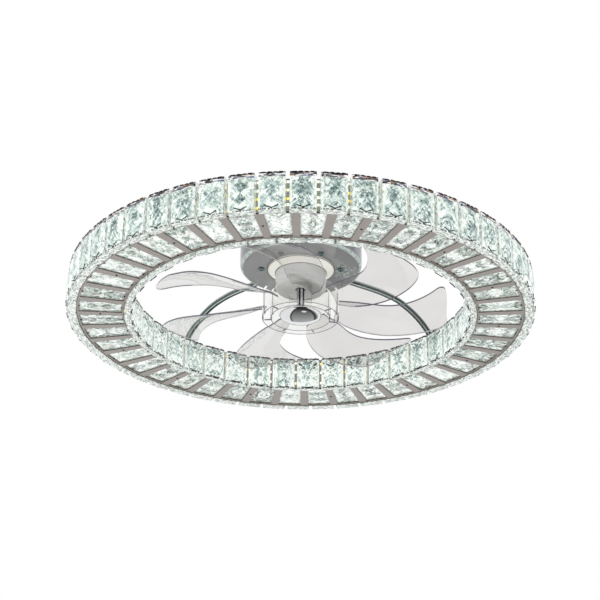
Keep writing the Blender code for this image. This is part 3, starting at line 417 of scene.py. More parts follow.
@dataclass(frozen=True)
class MirrorFinish(Finish):
    """Polished chrome plate, clean, with a breath of haze and faint wisps."""

    colour: Colour
    roughness: float
    haze: float
    metallic: float = 1.0

    def tone(
        self, surface: Surface, place: bpy.types.NodeSocket, haze: Value, wisps: Value
    ) -> Link:
        """Return the plate's colour, from its place, its haze and its wisps."""
        return surface.blend(haze * 0.6, self.colour, scaled(self.colour, 0.9))

    def paint(self, surface: Surface) -> None:
        """Build the nodes of the plate.

        Args:
            surface: The material's surface.
        """
        place = surface.place()
        haze = surface.noise(place, 28.0, 3.0)
        wisps = surface.noise(place, (90.0, 90.0, 700.0))
        surface.set(
            Base_Color=self.tone(surface, place, haze, wisps),
            Roughness=self.roughness + haze * self.haze + (wisps - 0.5) * 0.03,
            Metallic=self.metallic,
        )
        surface.bump(wisps, 0.004 * MM, 0.3)


@dataclass(frozen=True)
class DrumFinish(MirrorFinish):
    """Chrome on a drum, with a painted broken highlight and crystal reflection on its rim, a
    painted dark reflection in streaks on its wall and a painted reflection of the crystals on its
    floor.
    """

    # The rim's pale and teal colours are a painted highlight and a painted reflection of the
    # crystals.
    rim: tuple[Colour, Colour] = (srgb(214, 224, 220), srgb(128, 150, 144))
    rim_highlight_radii: tuple[float, float] = (63.0 * MM, 65.7 * MM)
    # The wall's colour is a painted dark reflection.
    wall: Colour = srgb(112, 114, 120)
    wall_low: float = -66.2 * MM
    # The floor's sparkle colours, place and radii make a painted reflection of the crystals.
    painted_reflection: tuple[Colour, Colour] = (srgb(96, 106, 102), srgb(206, 216, 210))
    painted_reflection_place: tuple[float, float] = (44 * MM, 4 * MM)
    painted_reflection_radii: tuple[float, float] = (17 * MM, 14 * MM)

    def tone(
        self, surface: Surface, place: bpy.types.NodeSocket, haze: Value, wisps: Value
    ) -> Link:
        """Return the drum's colour with its painted reflections and highlight, from its place, its
        haze and its wisps.

        Args:
            surface: The material's surface.
            place: The object coordinates.
            haze: The plate's haze.
            wisps: The plate's wisps.

        Returns:
            The colour.
        """
        colour = super().tone(surface, place, haze, wisps)
        x, y, z = surface.split(place)
        # Painted dark reflection on the wall, in streaks.
        reflection_streaks = surface.noise(place, (60.0, 60.0, 4.0))
        wall = surface.blend(reflection_streaks.ramp(0.35, 0.65), self.wall, scaled(self.wall, 1.7))
        colour = surface.blend(z.ramp(self.wall_low, self.wall_low + 1.0 * MM), colour, wall)
        # Painted reflection of the crystals on the floor.
        spray = surface.noise(place, (40.0, 40.0, 0.0), 1.0)
        reach = from_axis(x - self.painted_reflection_place[0], y - self.painted_reflection_place[1])
        reach += (spray - 0.5) * 16 * MM
        painted_reflection = surface.blend(surface.lots(place, 700.0).ramp(0.3, 0.9), *self.painted_reflection)
        colour = surface.blend(reach.ramp(*self.painted_reflection_radii) * 0.6, colour, painted_reflection)
        # Painted highlight and crystal reflection on the rim.
        radius = from_axis(x, y)
        inner, outer = self.rim_highlight_radii
        band = radius.ramp(inner - 0.5 * MM, inner + 0.5 * MM)
        band *= radius.ramp(outer + 0.2 * MM, outer)
        rim = surface.blend(surface.lots(place, 420.0).ramp(0.35, 0.6) * 0.55, *self.rim)
        return surface.blend(band, colour, rim)


@dataclass(frozen=True)
class PaintedReflectionFinish(MirrorFinish):
    """Chrome on a bent round bar, with painted bright and dark reflections that run along it as
    streaks.
    """

    # The painted reflections repeat this many times round the bar, in the colours below.
    reflection_repeats: float = 5.0
    reflection_stripes: Stops = stops(
        (0.0, 30, 36, 40), (0.12, 36, 42, 46), (0.19, 240, 247, 245), (0.29, 226, 236, 232),
        (0.38, 128, 152, 147), (0.52, 104, 126, 122), (0.64, 34, 40, 44), (0.86, 62, 72, 74),
        (1.0, 30, 36, 40),
    )

    def tone(
        self, surface: Surface, place: bpy.types.NodeSocket, haze: Value, wisps: Value
    ) -> Link:
        """Return the bar's colour, with its painted reflections, from its place round the bar."""
        turn = surface.attribute("round") + ((wisps - 0.5) * 0.02 + (haze - 0.5) * 0.05)
        return surface.colours(self.reflection_stripes, turn * self.reflection_repeats % 1.0)


@dataclass(frozen=True)
class FlutedReflectionFinish(Finish):
    """Bright steel with shallow flutes along a round bar on the Z axis, whose dark hollows and
    bright lands are painted reflections.
    """

    dark_streak: Colour
    bright_streak: Colour
    flutes: int

    def paint(self, surface: Surface) -> None:
        """Build the nodes of the painted dark reflections in the hollows and the bright ones on the
        lands between them.

        Args:
            surface: The material's surface.
        """
        place = surface.place()
        x, y, _ = surface.split(place)
        turn = y.maths("ARCTAN2", y, x) * (self.flutes / FULL_TURN)
        streak = surface.noise(place, (900.0, 900.0, 20.0))
        wave = abs((turn + (streak - 0.5) * 0.12) % 1.0 - 0.5)
        # Painted reflections: dark in the hollows, bright on the lands.
        colour = surface.blend(wave.ramp(0.20, 0.30), self.dark_streak, self.bright_streak)
        surface.set(Base_Color=colour, Roughness=0.14 + streak * 0.1, Metallic=0.6)
        surface.bump(wave, 0.3 * MM, 0.5)


@dataclass(frozen=True)
class ClearFinish(Finish):
    """Clear moulded sheet that light passes through, with faint flow marks and a gloss."""

    colour: Colour
    index: float = 1.06
    gloss: float = 0.5

    def paint(self, surface: Surface) -> None:
        """Build the nodes of the clear sheet.

        Args:
            surface: The material's surface.
        """
        flow = surface.noise(surface.place(), (14.0, 14.0, 60.0), 3.0)
        surface.set(
            Base_Color=surface.blend(flow.ramp(0.35, 0.7), self.colour, scaled(self.colour, 0.95)),
            Roughness=0.0, IOR=self.index, Transmission_Weight=1.0, Coat_Weight=self.gloss,
            Coat_Roughness=0.02,
        )


@dataclass(frozen=True)
class CutFinish(Finish):
    """A lit cut crystal in painted light: painted reflections and refractions as shards in its
    table, painted highlights on its side bevels, painted glints and shimmering ends.

    The pattern reads the crystal's own face, in metres from its middle, and its lot number, so
    that no two crystals are alike.
    """

    half_width: float
    half_height: float
    side_bevel: float
    end_bevel: float
    foot_bevel: float
    body: float
    shard: tuple[float, float] = (2.1 * MM, 7.5 * MM)
    fleck: tuple[float, float] = (1.2 * MM, 3.4 * MM)
    dash: tuple[float, float] = (1.2 * MM, 3.8 * MM)
    lean: float = math.radians(38)
    heart: float = 0.17
    heart_height: float = 0.12
    mist: float = 0.8
    dashes: float = 0.0
    seams: float = 0.75
    # Strength of the top bevel's painted reflections.
    shimmer: float = 1.0
    # The glow is painted light: it stands in for the board's light coming through the glass.
    glow: float = 0.30
    # Strength of the painted glints.
    lamps: float = 0.8
    contrast: float = 0.94
    level: float = 0.562
    blush: float = 0.0
    outline: float = 0.0
    outline_widths: tuple[float, float] = (1.2 * MM, 0.9 * MM)
    bevel_line: float = 0.25 * MM
    palette: Stops = stops(
        (0.10, 70, 88, 90), (0.32, 132, 152, 149), (0.48, 178, 196, 190), (0.62, 206, 221, 214),
        (0.86, 250, 253, 248),
    )
    shimmer_palette: Stops = stops(
        (0.0, 12, 14, 18), (0.38, 34, 34, 36), (0.46, 104, 98, 92), (0.55, 190, 138, 80),
        (0.60, 110, 118, 168), (0.68, 140, 142, 144), (0.84, 236, 237, 235),
    )
    wall_palette: Stops = stops(
        (0.0, 92, 100, 96), (0.22, 150, 158, 153), (0.5, 202, 209, 204), (0.85, 244, 247, 244),
    )

    def paint(self, surface: Surface) -> None:
        """Build the nodes of the table, the bevels, the outline and the walls."""
        CutPattern(self, surface).paint()


class CutPattern:
    """The nodes of one cut crystal's finish, which all read the place on it and its lot."""

    def __init__(self, finish: CutFinish, surface: Surface) -> None:
        """Add the nodes that read the place across, up and out from the middle of the back.

        Args:
            finish: The crystal's finish.
            surface: The material's surface.
        """
        self.finish = finish
        self.surface = surface
        self.across, self.up, self.out = surface.split(surface.attribute("cut", "Vector"))
        self.lot = surface.attribute("lot")
        self.side = abs(self.across)
        self.spark = self.facets(1.5, 2.6, self.lot * 39.0 + self.out / (2.0 * MM))

    def facets(
        self, wide: float, tall: float, depth: Value, height: Optional[Value] = None
    ) -> Value:
        """Return numbers between 0 and 1, one for each small facet.

        Args:
            wide: A facet's width in millimetres.
            tall: Its height in millimetres.
            depth: The pattern's third coordinate, which sets one crystal off from the next.
            height: The height that is read, where it isn't the plain one.

        Returns:
            The numbers.
        """
        height = self.up if height is None else height
        place = self.surface.vector(self.across / (wide * MM), height / (tall * MM), depth)
        return self.surface.lots(place)

    def shards(self, shift: float, size: tuple[float, float], lean: float) -> bpy.types.NodeSocket:
        """Return the places in a pattern of straight-edged shards that lean out from the middle.

        Args:
            shift: What is added to the lot, so that two patterns differ.
            size: Width and length of a shard.
            lean: How far the shards lean from upright.

        Returns:
            The vector that a cell pattern of scale 1 reads.
        """
        lot = self.lot + shift
        side = abs(self.across + (lot - 0.5) * self.finish.side_bevel * 2)
        rise = abs(self.up - (lot * 7.3 % 1.0 - 0.3) * self.finish.end_bevel * 1.5)
        wide = (side * math.cos(lean) - rise * math.sin(lean)) / size[0]
        long = (side * math.sin(lean) + rise * math.cos(lean)) / size[1]
        return self.surface.vector(wide, long, lot * 91.0)

    def table(self) -> Link:
        """Return the colour of the crystal's table, which is painted light: reflections and
        refractions of the lamps behind it, with glints.

        Returns:
            The colour.
        """
        finish, surface = self.finish, self.surface
        face = surface.vector(self.across / MM, self.up / MM, self.lot * 530.0)
        large = self.shards(0.0, finish.shard, finish.lean)
        crossed = self.shards(0.37, finish.shard, -finish.lean * 0.8)
        small = self.shards(0.71, finish.fleck, finish.lean * 1.3)
        shard, cross, fleck = (surface.lots(places) for places in (large, crossed, small))
        veil = surface.noise(face, 0.16)
        side, rise = self.side / finish.half_width, self.up / finish.half_height
        slope = side * 0.9 - abs(rise)
        level = rise - finish.heart_height - (self.lot * 17.0 % 1.0 - 0.5) * 0.3
        heart = (side * side * 1.7 + level * level * 1.5).ramp(0.85, 0.0)
        bow = slope.ramp(0.06, -0.06) * side.ramp(0.7, 0.1)
        wing = (slope - 0.1).ramp(0.0, 0.35)
        shape = wing * 0.08 - bow * 0.03 - heart * finish.heart
        ridge = abs(slope).ramp(0.07, 0.01) * (shard - 0.35) * 0.3
        lines = surface.seams(large, 0.10) * (cross.ramp(0.35, 0.75) * 0.5 - 0.26)
        lines += surface.seams(crossed, 0.08) * (shard - 0.6) * 0.34
        tone = (shard - 0.5) * 0.30 + (cross - 0.5) * 0.20 + (fleck - 0.5) * 0.24
        tone = (tone + (veil - 0.5) * finish.mist) * finish.contrast
        tone = finish.level + tone + shape + ridge + lines * finish.seams
        colour: Link = surface.colours(finish.palette, tone)
        if finish.blush:
            rose = surface.noise(face, 0.22, 1.0).ramp(0.5, 0.62) * finish.blush
            colour = surface.blend(rose, colour, srgb(196, 188, 190))
        if finish.dashes:
            strokes = self.shards(0.13, finish.dash, finish.lean * 1.5)
            stroke = surface.lots(strokes).ramp(0.74, 0.80)
            where = (rise + (veil - 0.5) * 1.8).ramp(0.0, 0.5)
            colour = surface.blend(stroke * where * finish.dashes, colour, srgb(36, 50, 46))
        # Painted glints: reflected lamps, white glints and spots of coloured fire.
        near, pick = surface.cells(face, 0.36), surface.lots(face, 0.36)
        lamp = near.ramp(0.34, 0.20) * pick.ramp(0.86, 0.90) * abs(rise - 0.5).ramp(0.5, 0.2)
        white = near.ramp(0.45, 0.26) * pick.ramp(0.16, 0.12)
        fire = near.ramp(0.20, 0.10) * pick.ramp(0.22, 0.20) * pick.ramp(0.17, 0.19)
        warm = surface.blend(veil.ramp(0.45, 0.55), srgb(206, 122, 70), srgb(96, 136, 190))
        for glint, light in ((lamp, srgb(250, 244, 176)), (white, WHITE), (fire, warm)):
            colour = surface.blend(glint * finish.lamps, colour, light)
        return colour

    def bevels(self, colour: Link) -> Link:
        """Put the painted highlights of the side bevels, the foot bevel and the painted reflections
        of the shimmering top bevel round the table's colour.

        Args:
            colour: The table's colour.

        Returns:
            The colour of the table and its bevels.
        """
        finish, surface, line = self.finish, self.surface, self.finish.bevel_line
        edge = finish.half_width - finish.side_bevel
        # Painted highlight: the side bevels are near white.
        pale = self.side.ramp(edge - line, edge + line) * (0.72 - self.spark * 0.6)
        colour = surface.blend(pale, colour, srgb(246, 250, 248))
        rim = abs(self.side - edge).ramp(line * 1.6, 0.0) * (1.0 - self.spark).ramp(0.3, 0.8) * 0.5
        colour = surface.blend(rim, colour, srgb(110, 128, 126))
        edge = finish.half_height - finish.foot_bevel
        foot = (self.up * -1.0).ramp(edge - line, edge + line) * 0.75
        colour = surface.blend(foot, colour, surface.colours(finish.wall_palette, self.spark))
        # Painted reflections in the top bevel: dark, gold, blue and white flashes.
        edge = finish.half_height - finish.end_bevel
        slant = self.up + self.side * (self.lot - 0.3) * 0.25
        flashes = self.facets(4.2, 1.25, self.lot * 77.0, slant)
        flash = surface.colours(finish.shimmer_palette, flashes)
        return surface.blend(self.up.ramp(edge - line, edge + line) * finish.shimmer, colour, flash)

    def outlined(self, colour: Link) -> Link:
        """Draw the broken dark lines at the crystal's head and foot over its colour.

        Args:
            colour: The crystal's colour.

        Returns:
            The colour with the lines.
        """
        half, surface = self.finish.half_height, self.surface
        head, foot = (
            height.ramp(half - width, half - width * 0.6)
            for height, width in zip((self.up, self.up * -1.0), self.finish.outline_widths)
        )
        along = surface.vector(self.across / MM, self.lot * 60.0, self.up * 90.0)
        broken = surface.noise(along, 0.5)
        share = (head + foot) * broken.ramp(0.45, 0.51) * self.finish.outline
        return surface.blend(share, colour, srgb(34, 36, 33))

    def paint(self) -> None:
        """Put the parts together and feed them to the shader."""
        finish, surface = self.finish, self.surface
        colour = self.bevels(self.table())
        if finish.outline:
            colour = self.outlined(colour)
        wall = self.out.ramp(finish.body - 0.1 * MM, finish.body - 0.3 * MM)
        depth = self.out / (1.3 * MM) + self.lot * 50.0
        streak = surface.vector(self.across / (2.4 * MM), self.up / (3.0 * MM), depth)
        tone = surface.lots(streak) * 0.7 + surface.noise(streak, 1.7) * 0.3
        colour = surface.blend(wall, colour, surface.colours(finish.wall_palette, tone))
        # The emission is painted light for the board's light through the glass.
        surface.set(
            Base_Color=colour, Roughness=0.10 + self.spark * 0.12, Emission_Color=colour,
            Emission_Strength=finish.glow, Coat_Weight=0.25, Coat_Roughness=0.03,
        )
        surface.bump(self.spark, 0.02 * MM, 0.4)


@dataclass(frozen=True)
class LampBoardFinish(Finish):
    """The board behind the crystals, with its solder mask, tracks and a soft glow."""

    colour: Colour
    glow: float

    def paint(self, surface: Surface) -> None:
        """Build the nodes of the mask and the tracks.

        Args:
            surface: The material's surface.
        """
        place = surface.place()
        _, _, z = surface.split(place)
        track = abs((z / (3.4 * MM)) % 1.0 - 0.5).ramp(0.16, 0.08)
        mottle = surface.noise(place, 240.0, 3.0)
        colour = surface.blend(track * 0.6, self.colour, scaled(self.colour, 0.55))
        colour = surface.blend(mottle.ramp(0.35, 0.7) * 0.5, colour, scaled(self.colour, 1.25))
        surface.set(
            Base_Color=colour, Roughness=0.45 + (mottle - 0.5) * 0.2, Emission_Color=colour,
            Emission_Strength=self.glow,
        )
        surface.bump(track, 0.05 * MM, 0.5)


@dataclass(frozen=True)
class LampFinish(Finish):
    """A lit lamp chip: a yellow phosphor square in a white frame."""

    phosphor: Colour = srgb(250, 226, 96)
    frame: Colour = srgb(252, 252, 244)
    glow: float = 0.9

    def paint(self, surface: Surface) -> None:
        """Build the nodes of the chip's face.

        Args:
            surface: The material's surface.
        """
        grain = surface.noise(surface.place(), 900.0, 1.0)
        shade = surface.attribute("lot").ramp(0.42, 0.58) * (0.8 + grain * 0.3)
        colour = surface.blend(shade, self.phosphor, self.frame)
        surface.set(
            Base_Color=colour, Roughness=0.4, Emission_Color=colour, Emission_Strength=self.glow
        )


SHAFT_CHROME = FlutedReflectionFinish("fluted shaft chrome with painted reflections", srgb(20, 20, 22), srgb(232, 232, 234), 5)
CHROME = MirrorFinish("polished chrome", srgb(230, 231, 232), 0.04, 0.04)
SCREW_CHROME = MirrorFinish("screw chrome", srgb(120, 140, 146), 0.12, 0.1)
# Its rim, wall and floor carry a painted highlight and painted reflections.
CANOPY_CHROME = DrumFinish("canopy chrome", srgb(151, 152, 152), 0.08, 0.05, 0.3)
# The arms' streaks are painted reflections.
ARM_CHROME = PaintedReflectionFinish("arm chrome", srgb(206, 214, 212), 0.05, 0.05, 0.3)
ZINC = WorkedFinish("zinc plated steel", srgb(178, 180, 182), 0.42, 1.0, Grain.GALVANISED, 0.07)
RING_STEEL = WorkedFinish(
    "satin warm steel", srgb(171, 164, 159), 0.38, 0.2, Grain.BRUSHED, 0.10, 0.012 * MM
)
# Dark rings along the plate's rims: painted shade.
RIM_SHADE_STEEL = WorkedFinish("rim shade steel", srgb(98, 91, 88), 0.42, 0.2, Grain.TURNED, 0.15)
CLAW_STEEL = WorkedFinish(
    "blackened spring steel", srgb(72, 72, 74), 0.35, 1.0, Grain.BRUSHED, 0.20
)
# The sheet's cut edges are painted dark: painted shade.
SHADED_CUT_STEEL = WorkedFinish("shaded cut steel edge", srgb(84, 76, 70), 0.5, 0.1, Grain.BRUSHED, 0.2)
LAMINATIONS = WorkedFinish("laminated steel", srgb(70, 70, 76), 0.5, 1.0, Grain.TURNED, 0.2)
BEARING_STEEL = WorkedFinish("bearing steel", srgb(190, 192, 196), 0.22, 1.0, Grain.TURNED, 0.08)
MOTOR_PAINT = WorkedFinish(
    "motor paint", srgb(238, 239, 238), 0.30, 0.0, Grain.MOULDED, 0.03, 0.02 * MM
)
# The collar's glow is painted light that brightens it.
COLLAR_NYLON = WorkedFinish(
    "collar nylon", srgb(238, 236, 228), 0.36, 0.0, Grain.MOULDED, 0.03, 0.02 * MM, 0.2
)
# Dark rings in the gaps at the collar's rims: painted shade.
GAP_SHADE = WorkedFinish("collar gap shade", srgb(96, 88, 76), 0.5, 0.0, Grain.MOULDED, 0.1)
CASE = WorkedFinish("case plastic", srgb(232, 232, 228), 0.42, 0.0, Grain.MOULDED, 0.04, 0.03 * MM)
BLOCK = WorkedFinish("block nylon", srgb(226, 221, 204), 0.40, 0.0, Grain.MOULDED, 0.05, 0.03 * MM)
SLEEVE = WorkedFinish("lead sleeve", srgb(200, 200, 200), 0.6, 0.0, Grain.MOULDED, 0.10, 0.05 * MM)
# Dark and pale copies of the acrylic's cut edge: painted shade and painted highlight.
SHADED_EDGE = WorkedFinish("acrylic shaded edge", srgb(122, 116, 130), 0.2, 0.0, Grain.MOULDED, 0.1)
LIT_EDGE = WorkedFinish("acrylic lit edge", srgb(214, 212, 214), 0.2, 0.0, Grain.MOULDED, 0.04)
ACRYLIC = ClearFinish("clear acrylic", srgb(229, 228, 227))
CLEAR_HUB = ClearFinish("clear hub acrylic", srgb(250, 250, 249), 1.02, 0.15)
LIGHT_BOARD = LampBoardFinish("light board", srgb(166, 170, 152), 0.18)
INNER_LIGHT_BOARD = LampBoardFinish("inner light board", srgb(178, 168, 160), 0.16)
LAMP_CHIP = LampFinish("lamp chip")


# Mesh building


def new_object(name: str, mesh: bpy.types.Mesh, *materials: bpy.types.Material) -> bpy.types.Object:
    """Link a new object at the origin.

    Args:
        name: The piece's name.
        mesh: Its mesh, in place.
        materials: Its materials, in slot order.

    Returns:
        The object.
    """
    for material in materials:
        mesh.materials.append(material)
    obj = bpy.data.objects.new(name, mesh)
    bpy.context.scene.collection.objects.link(obj)
    return obj


def flat_mesh(name: str, work: bmesh.types.BMesh) -> bpy.types.Mesh:
    """Turn a working mesh into a mesh with its faces as they are.

    Args:
        name: The mesh's name.
        work: The working mesh, which is freed.

    Returns:
        The mesh.
    """
    mesh = bpy.data.meshes.new(name)
    work.to_mesh(mesh)
    work.free()
    return mesh


def to_mesh(name: str, work: bmesh.types.BMesh, smooth: bool = True) -> bpy.types.Mesh:
    """Turn a working mesh into a mesh with outward faces.

    Args:
        name: The mesh's name.
        work: The working mesh, which is freed.
        smooth: Whether edges are soft or sharp by their angle, and not all sharp.

    Returns:
        The mesh.
    """
    bmesh.ops.recalc_face_normals(work, faces=work.faces)
    mesh = flat_mesh(name, work)
    if smooth:
        mesh.shade_smooth()
        mesh.set_sharp_from_angle(angle=SMOOTH_ANGLE)
    return mesh


def baked(obj: bpy.types.Object) -> bpy.types.Mesh:
    """Return the plain mesh that an object's modifiers make.

    Args:
        obj: The object, which is removed.

    Returns:
        The mesh.
    """
    bpy.context.view_layer.update()
    depsgraph = bpy.context.evaluated_depsgraph_get()
    mesh = bpy.data.meshes.new_from_object(
        obj.evaluated_get(depsgraph), preserve_all_data_layers=True, depsgraph=depsgraph
    )
    bpy.data.objects.remove(obj, do_unlink=True)
    return mesh


def box(work: bmesh.types.BMesh, size: tuple[float, float, float], place: Matrix) -> None:
    """Add a box to a working mesh, moved by a matrix."""
    bmesh.ops.create_cube(work, size=1.0, matrix=place @ Matrix.Diagonal((*size, 1.0)))


def bar(
    work: bmesh.types.BMesh, start: Vector, end: Vector, wide: float, tall: Optional[float] = None
) -> None:
    """Add a slim bar between two points to a working mesh.

    Args:
        work: The working mesh.
        start: Where the bar starts.
        end: Where it ends.
        wide: Its width across.
        tall: Its height, where that isn't its width.
    """
    along = end - start
    turn = along.to_track_quat("X", "Z").to_matrix().to_4x4()
    box(work, (along.length, wide, tall or wide), Matrix.Translation((start + end) / 2) @ turn)


def polar(radius: float, azimuth: float) -> tuple[float, float]:
    """Return the plan point at a radius and an azimuth."""
    return radius * math.cos(azimuth), radius * math.sin(azimuth)


def rectangle(near: float, far: float, low: float, high: float) -> Profile:
    """Return the profile of a ring with a rectangular section."""
    return [(far, high), (far, low), (near, low), (near, high)]


def rounded(profile: Profile, radii: dict[int, float], segments: int) -> Profile:
    """Round chosen corners of a profile.

    Args:
        profile: The profile's corners, in order.
        radii: The rounding radius of each rounded corner, by its number.
        segments: How many short lines make each round.

    Returns:
        The new profile.
    """
    result: Profile = []
    for number, corner in enumerate(profile):
        if number not in radii:
            result.append(corner)
            continue
        here = Vector(corner)
        before = Vector(profile[number - 1]) - here
        after = Vector(profile[(number + 1) % len(profile)]) - here
        reach = min(radii[number], before.length * 0.49, after.length * 0.49)
        start, end = here + before.normalized() * reach, here + after.normalized() * reach
        for step in range(segments + 1):
            share = step / segments
            point = start * (1 - share) ** 2 + here * 2 * share * (1 - share) + end * share**2
            result.append((point.x, point.y))
    return result


def lathe(name: str, profile: Profile, steps: int, closed: bool = True) -> bpy.types.Mesh:
    """Turn a profile about the Z axis.

    Args:
        name: The mesh's name.
        profile: Points of (radius, height). An open profile starts and ends on the axis.
        steps: How many steps make the full turn.
        closed: Whether the last point joins the first.

    Returns:
        A closed mesh.
    """
    work = bmesh.new()
    angles = [FULL_TURN * i / steps for i in range(steps)]
    rings = []
    for radius, height in profile:
        if radius <= 1e-9:
            rings.append([work.verts.new((0.0, 0.0, height))] * steps)
        else:
            rings.append([work.verts.new((*polar(radius, a), height)) for a in angles])
    pairs = list(zip(rings, rings[1:]))
    if closed:
        pairs.append((rings[-1], rings[0]))
    for first, second in pairs:
        for i in range(steps):
            j = (i + 1) % steps
            corners = list(dict.fromkeys((first[i], first[j], second[j], second[i])))
            if len(corners) > 2:
                work.faces.new(corners)
    return to_mesh(name, work)


def sweep(name: str, route: Sequence[Vector], radius: float, sides: int) -> bpy.types.Mesh:
    """Run a round bar along a route that lies in the upright plane y = 0.

    Args:
        name: The mesh's name.
        route: The points of the bar's middle line.
        radius: The bar's radius.
        sides: How many sides make it round.

    Returns:
        The mesh, with each point's place round the bar kept for the finish.
    """
    work = bmesh.new()
    angles = [FULL_TURN * i / sides for i in range(sides)]
    side = Vector((0.0, 1.0, 0.0))
    rings = []
    last = len(route) - 1
    for number, centre in enumerate(route):
        ahead = route[min(number + 1, last)] - route[max(number - 1, 0)]
        lift = ahead.normalized().cross(side)
        spokes = [math.cos(a) * side + math.sin(a) * lift for a in angles]
        rings.append([work.verts.new(centre + radius * spoke) for spoke in spokes])
    for first, second in zip(rings, rings[1:]):
        for i in range(sides):
            j = (i + 1) % sides
            work.faces.new((first[i], first[j], second[j], second[i]))
    work.faces.new(rings[0])
    work.faces.new(rings[-1])
    mesh = to_mesh(name, work)
    shares = [number % sides / sides for number in range(sides * len(rings))]
    mesh.attributes.new("round", "FLOAT", "POINT").data.foreach_set("value", shares)
    return mesh


def turned_about_z(mesh: bpy.types.Mesh, azimuth: float) -> bpy.types.Mesh:
    """Copy a mesh and turn the copy about the Z axis.

    Args:
        mesh: The mesh.
        azimuth: How far it is turned.

    Returns:
        The turned copy.
    """
    copy = mesh.copy()
    copy.transform(Matrix.Rotation(azimuth, 4, "Z"))
    return copy


def smooth_table(values: Sequence[float], share: float) -> float:
    """Read an evenly spaced table smoothly.

    Args:
        values: The table.
        share: Where it is read, from its start at 0 to its end at 1.

    Returns:
        The value there.
    """
    last = len(values) - 1
    place = min(max(share, 0.0), 1.0) * last
    span = min(int(place), last - 1)
    across = place - span
    before, after = max(span - 1, 0), min(span + 2, last)
    start_slope = (values[span + 1] - values[before]) / 2
    end_slope = (values[after] - values[span]) / 2
    square, cube = across**2, across**3
    return (
        values[span] * (2 * cube - 3 * square + 1)
        + start_slope * (cube - 2 * square + across)
        + values[span + 1] * (3 * square - 2 * cube)
        + end_slope * (cube - square)
    )


# Setting out copies


class RingLayout:
    """A geometry tree that sets copies of a template out in columns round the fan's axis."""

    INPUTS = {
        "Object": ("Template",), "Material": ("Finish",), "Int": ("Columns", "Rows", "Seed"),
        "Float": ("Radius", "Phase", "Low", "High", "Turn", "Jitter"),
    }
    DEFAULTS = {"Rows": 1, "Low": 0.0, "High": 0.0, "Turn": 0.0, "Jitter": 0.0, "Seed": 7}

    def __init__(self) -> None:
        """Build the tree."""
        self.tree = bpy.data.node_groups.new("ring layout", "GeometryNodeTree")
        self.sockets: dict[str, str] = {}
        self.add_socket("Geometry", "Geometry")
        for kind, names in self.INPUTS.items():
            for name in names:
                self.sockets[name] = self.add_socket(name, kind)
        self.add_socket("Geometry", "Geometry", "OUTPUT")
        self.build(Graph(self.tree))

    def add_socket(self, name: str, kind: str, side: str = "INPUT") -> str:
        """Give the tree a socket and return its identifier."""
        kind = f"NodeSocket{kind}"
        return self.tree.interface.new_socket(name=name, in_out=side, socket_type=kind).identifier

    def build(self, graph: Graph) -> None:
        """Fill the tree with its nodes.

        Args:
            graph: The tree.
        """
        given = graph.node("NodeGroupInput").outputs

        def size(name: str) -> Value:
            """Return one of the tree's inputs as a number."""
            return Value(graph, given[name])

        def draw(low: float) -> Value:
            """Return a random number between low and 1 for each copy."""
            span = {2: low, 3: 1.0, "Seed": given["Seed"]}
            return graph.number("FunctionNodeRandomValue", span, 1, data_type="FLOAT")

        index = graph.number("GeometryNodeInputIndex", {})
        columns, rows, radius = size("Columns"), size("Rows"), size("Radius")
        azimuth = size("Phase") + (index / rows).floor() * FULL_TURN / columns
        spans = rows - 1
        step = (size("High") - size("Low")) / spans.maths("MAXIMUM", spans, 1.0)
        height = size("Low") + index % rows * step + draw(-1.0) * size("Jitter")
        cosine, sine = azimuth.maths("COSINE", azimuth), azimuth.maths("SINE", azimuth)
        place = graph.vector(cosine * radius, sine * radius, height)
        points = graph.node("GeometryNodePoints", {"Count": columns * rows, "Position": place})
        turn = graph.vector(0.0, 0.0, azimuth + size("Turn"))
        facing = graph.node("FunctionNodeEulerToRotation", {0: turn})
        template = graph.node("GeometryNodeObjectInfo", {"Object": given["Template"]})
        copies = graph.node(
            "GeometryNodeInstanceOnPoints",
            {
                "Points": points.outputs[0], "Instance": template.outputs["Geometry"],
                "Rotation": facing.outputs[0],
            },
        )
        stored = graph.node(
            "GeometryNodeStoreNamedAttribute",
            {"Geometry": copies.outputs[0], "Name": "lot", "Value": draw(0.0)}, data_type="FLOAT",
            domain="INSTANCE",
        )
        real = graph.node("GeometryNodeRealizeInstances", {0: stored.outputs[0]})
        dressed = graph.node(
            "GeometryNodeSetMaterial", {"Geometry": real.outputs[0], "Material": given["Finish"]}
        )
        graph.node("NodeGroupOutput", {0: dressed.outputs[0]})

    def set_out(self, name: str, template: bpy.types.Mesh, **sizes: object) -> bpy.types.Object:
        """Set a template out and return the plain piece.

        Args:
            name: The piece's name.
            template: The mesh that is copied, which faces +X.
            sizes: The tree's inputs, by name.

        Returns:
            The piece, with its copies made real.
        """
        source = new_object(f"{name}_template", template)
        holder = new_object(f"{name}_layout", bpy.data.meshes.new(f"{name}_layout"))
        modifier = holder.modifiers.new("layout", "NODES")
        modifier.node_group = self.tree
        for key, value in {**self.DEFAULTS, "Template": source, **sizes}.items():
            modifier[self.sockets[key]] = value
        mesh = baked(holder)
        mesh.name = name
        bpy.data.objects.remove(source, do_unlink=True)
        return new_object(name, mesh)


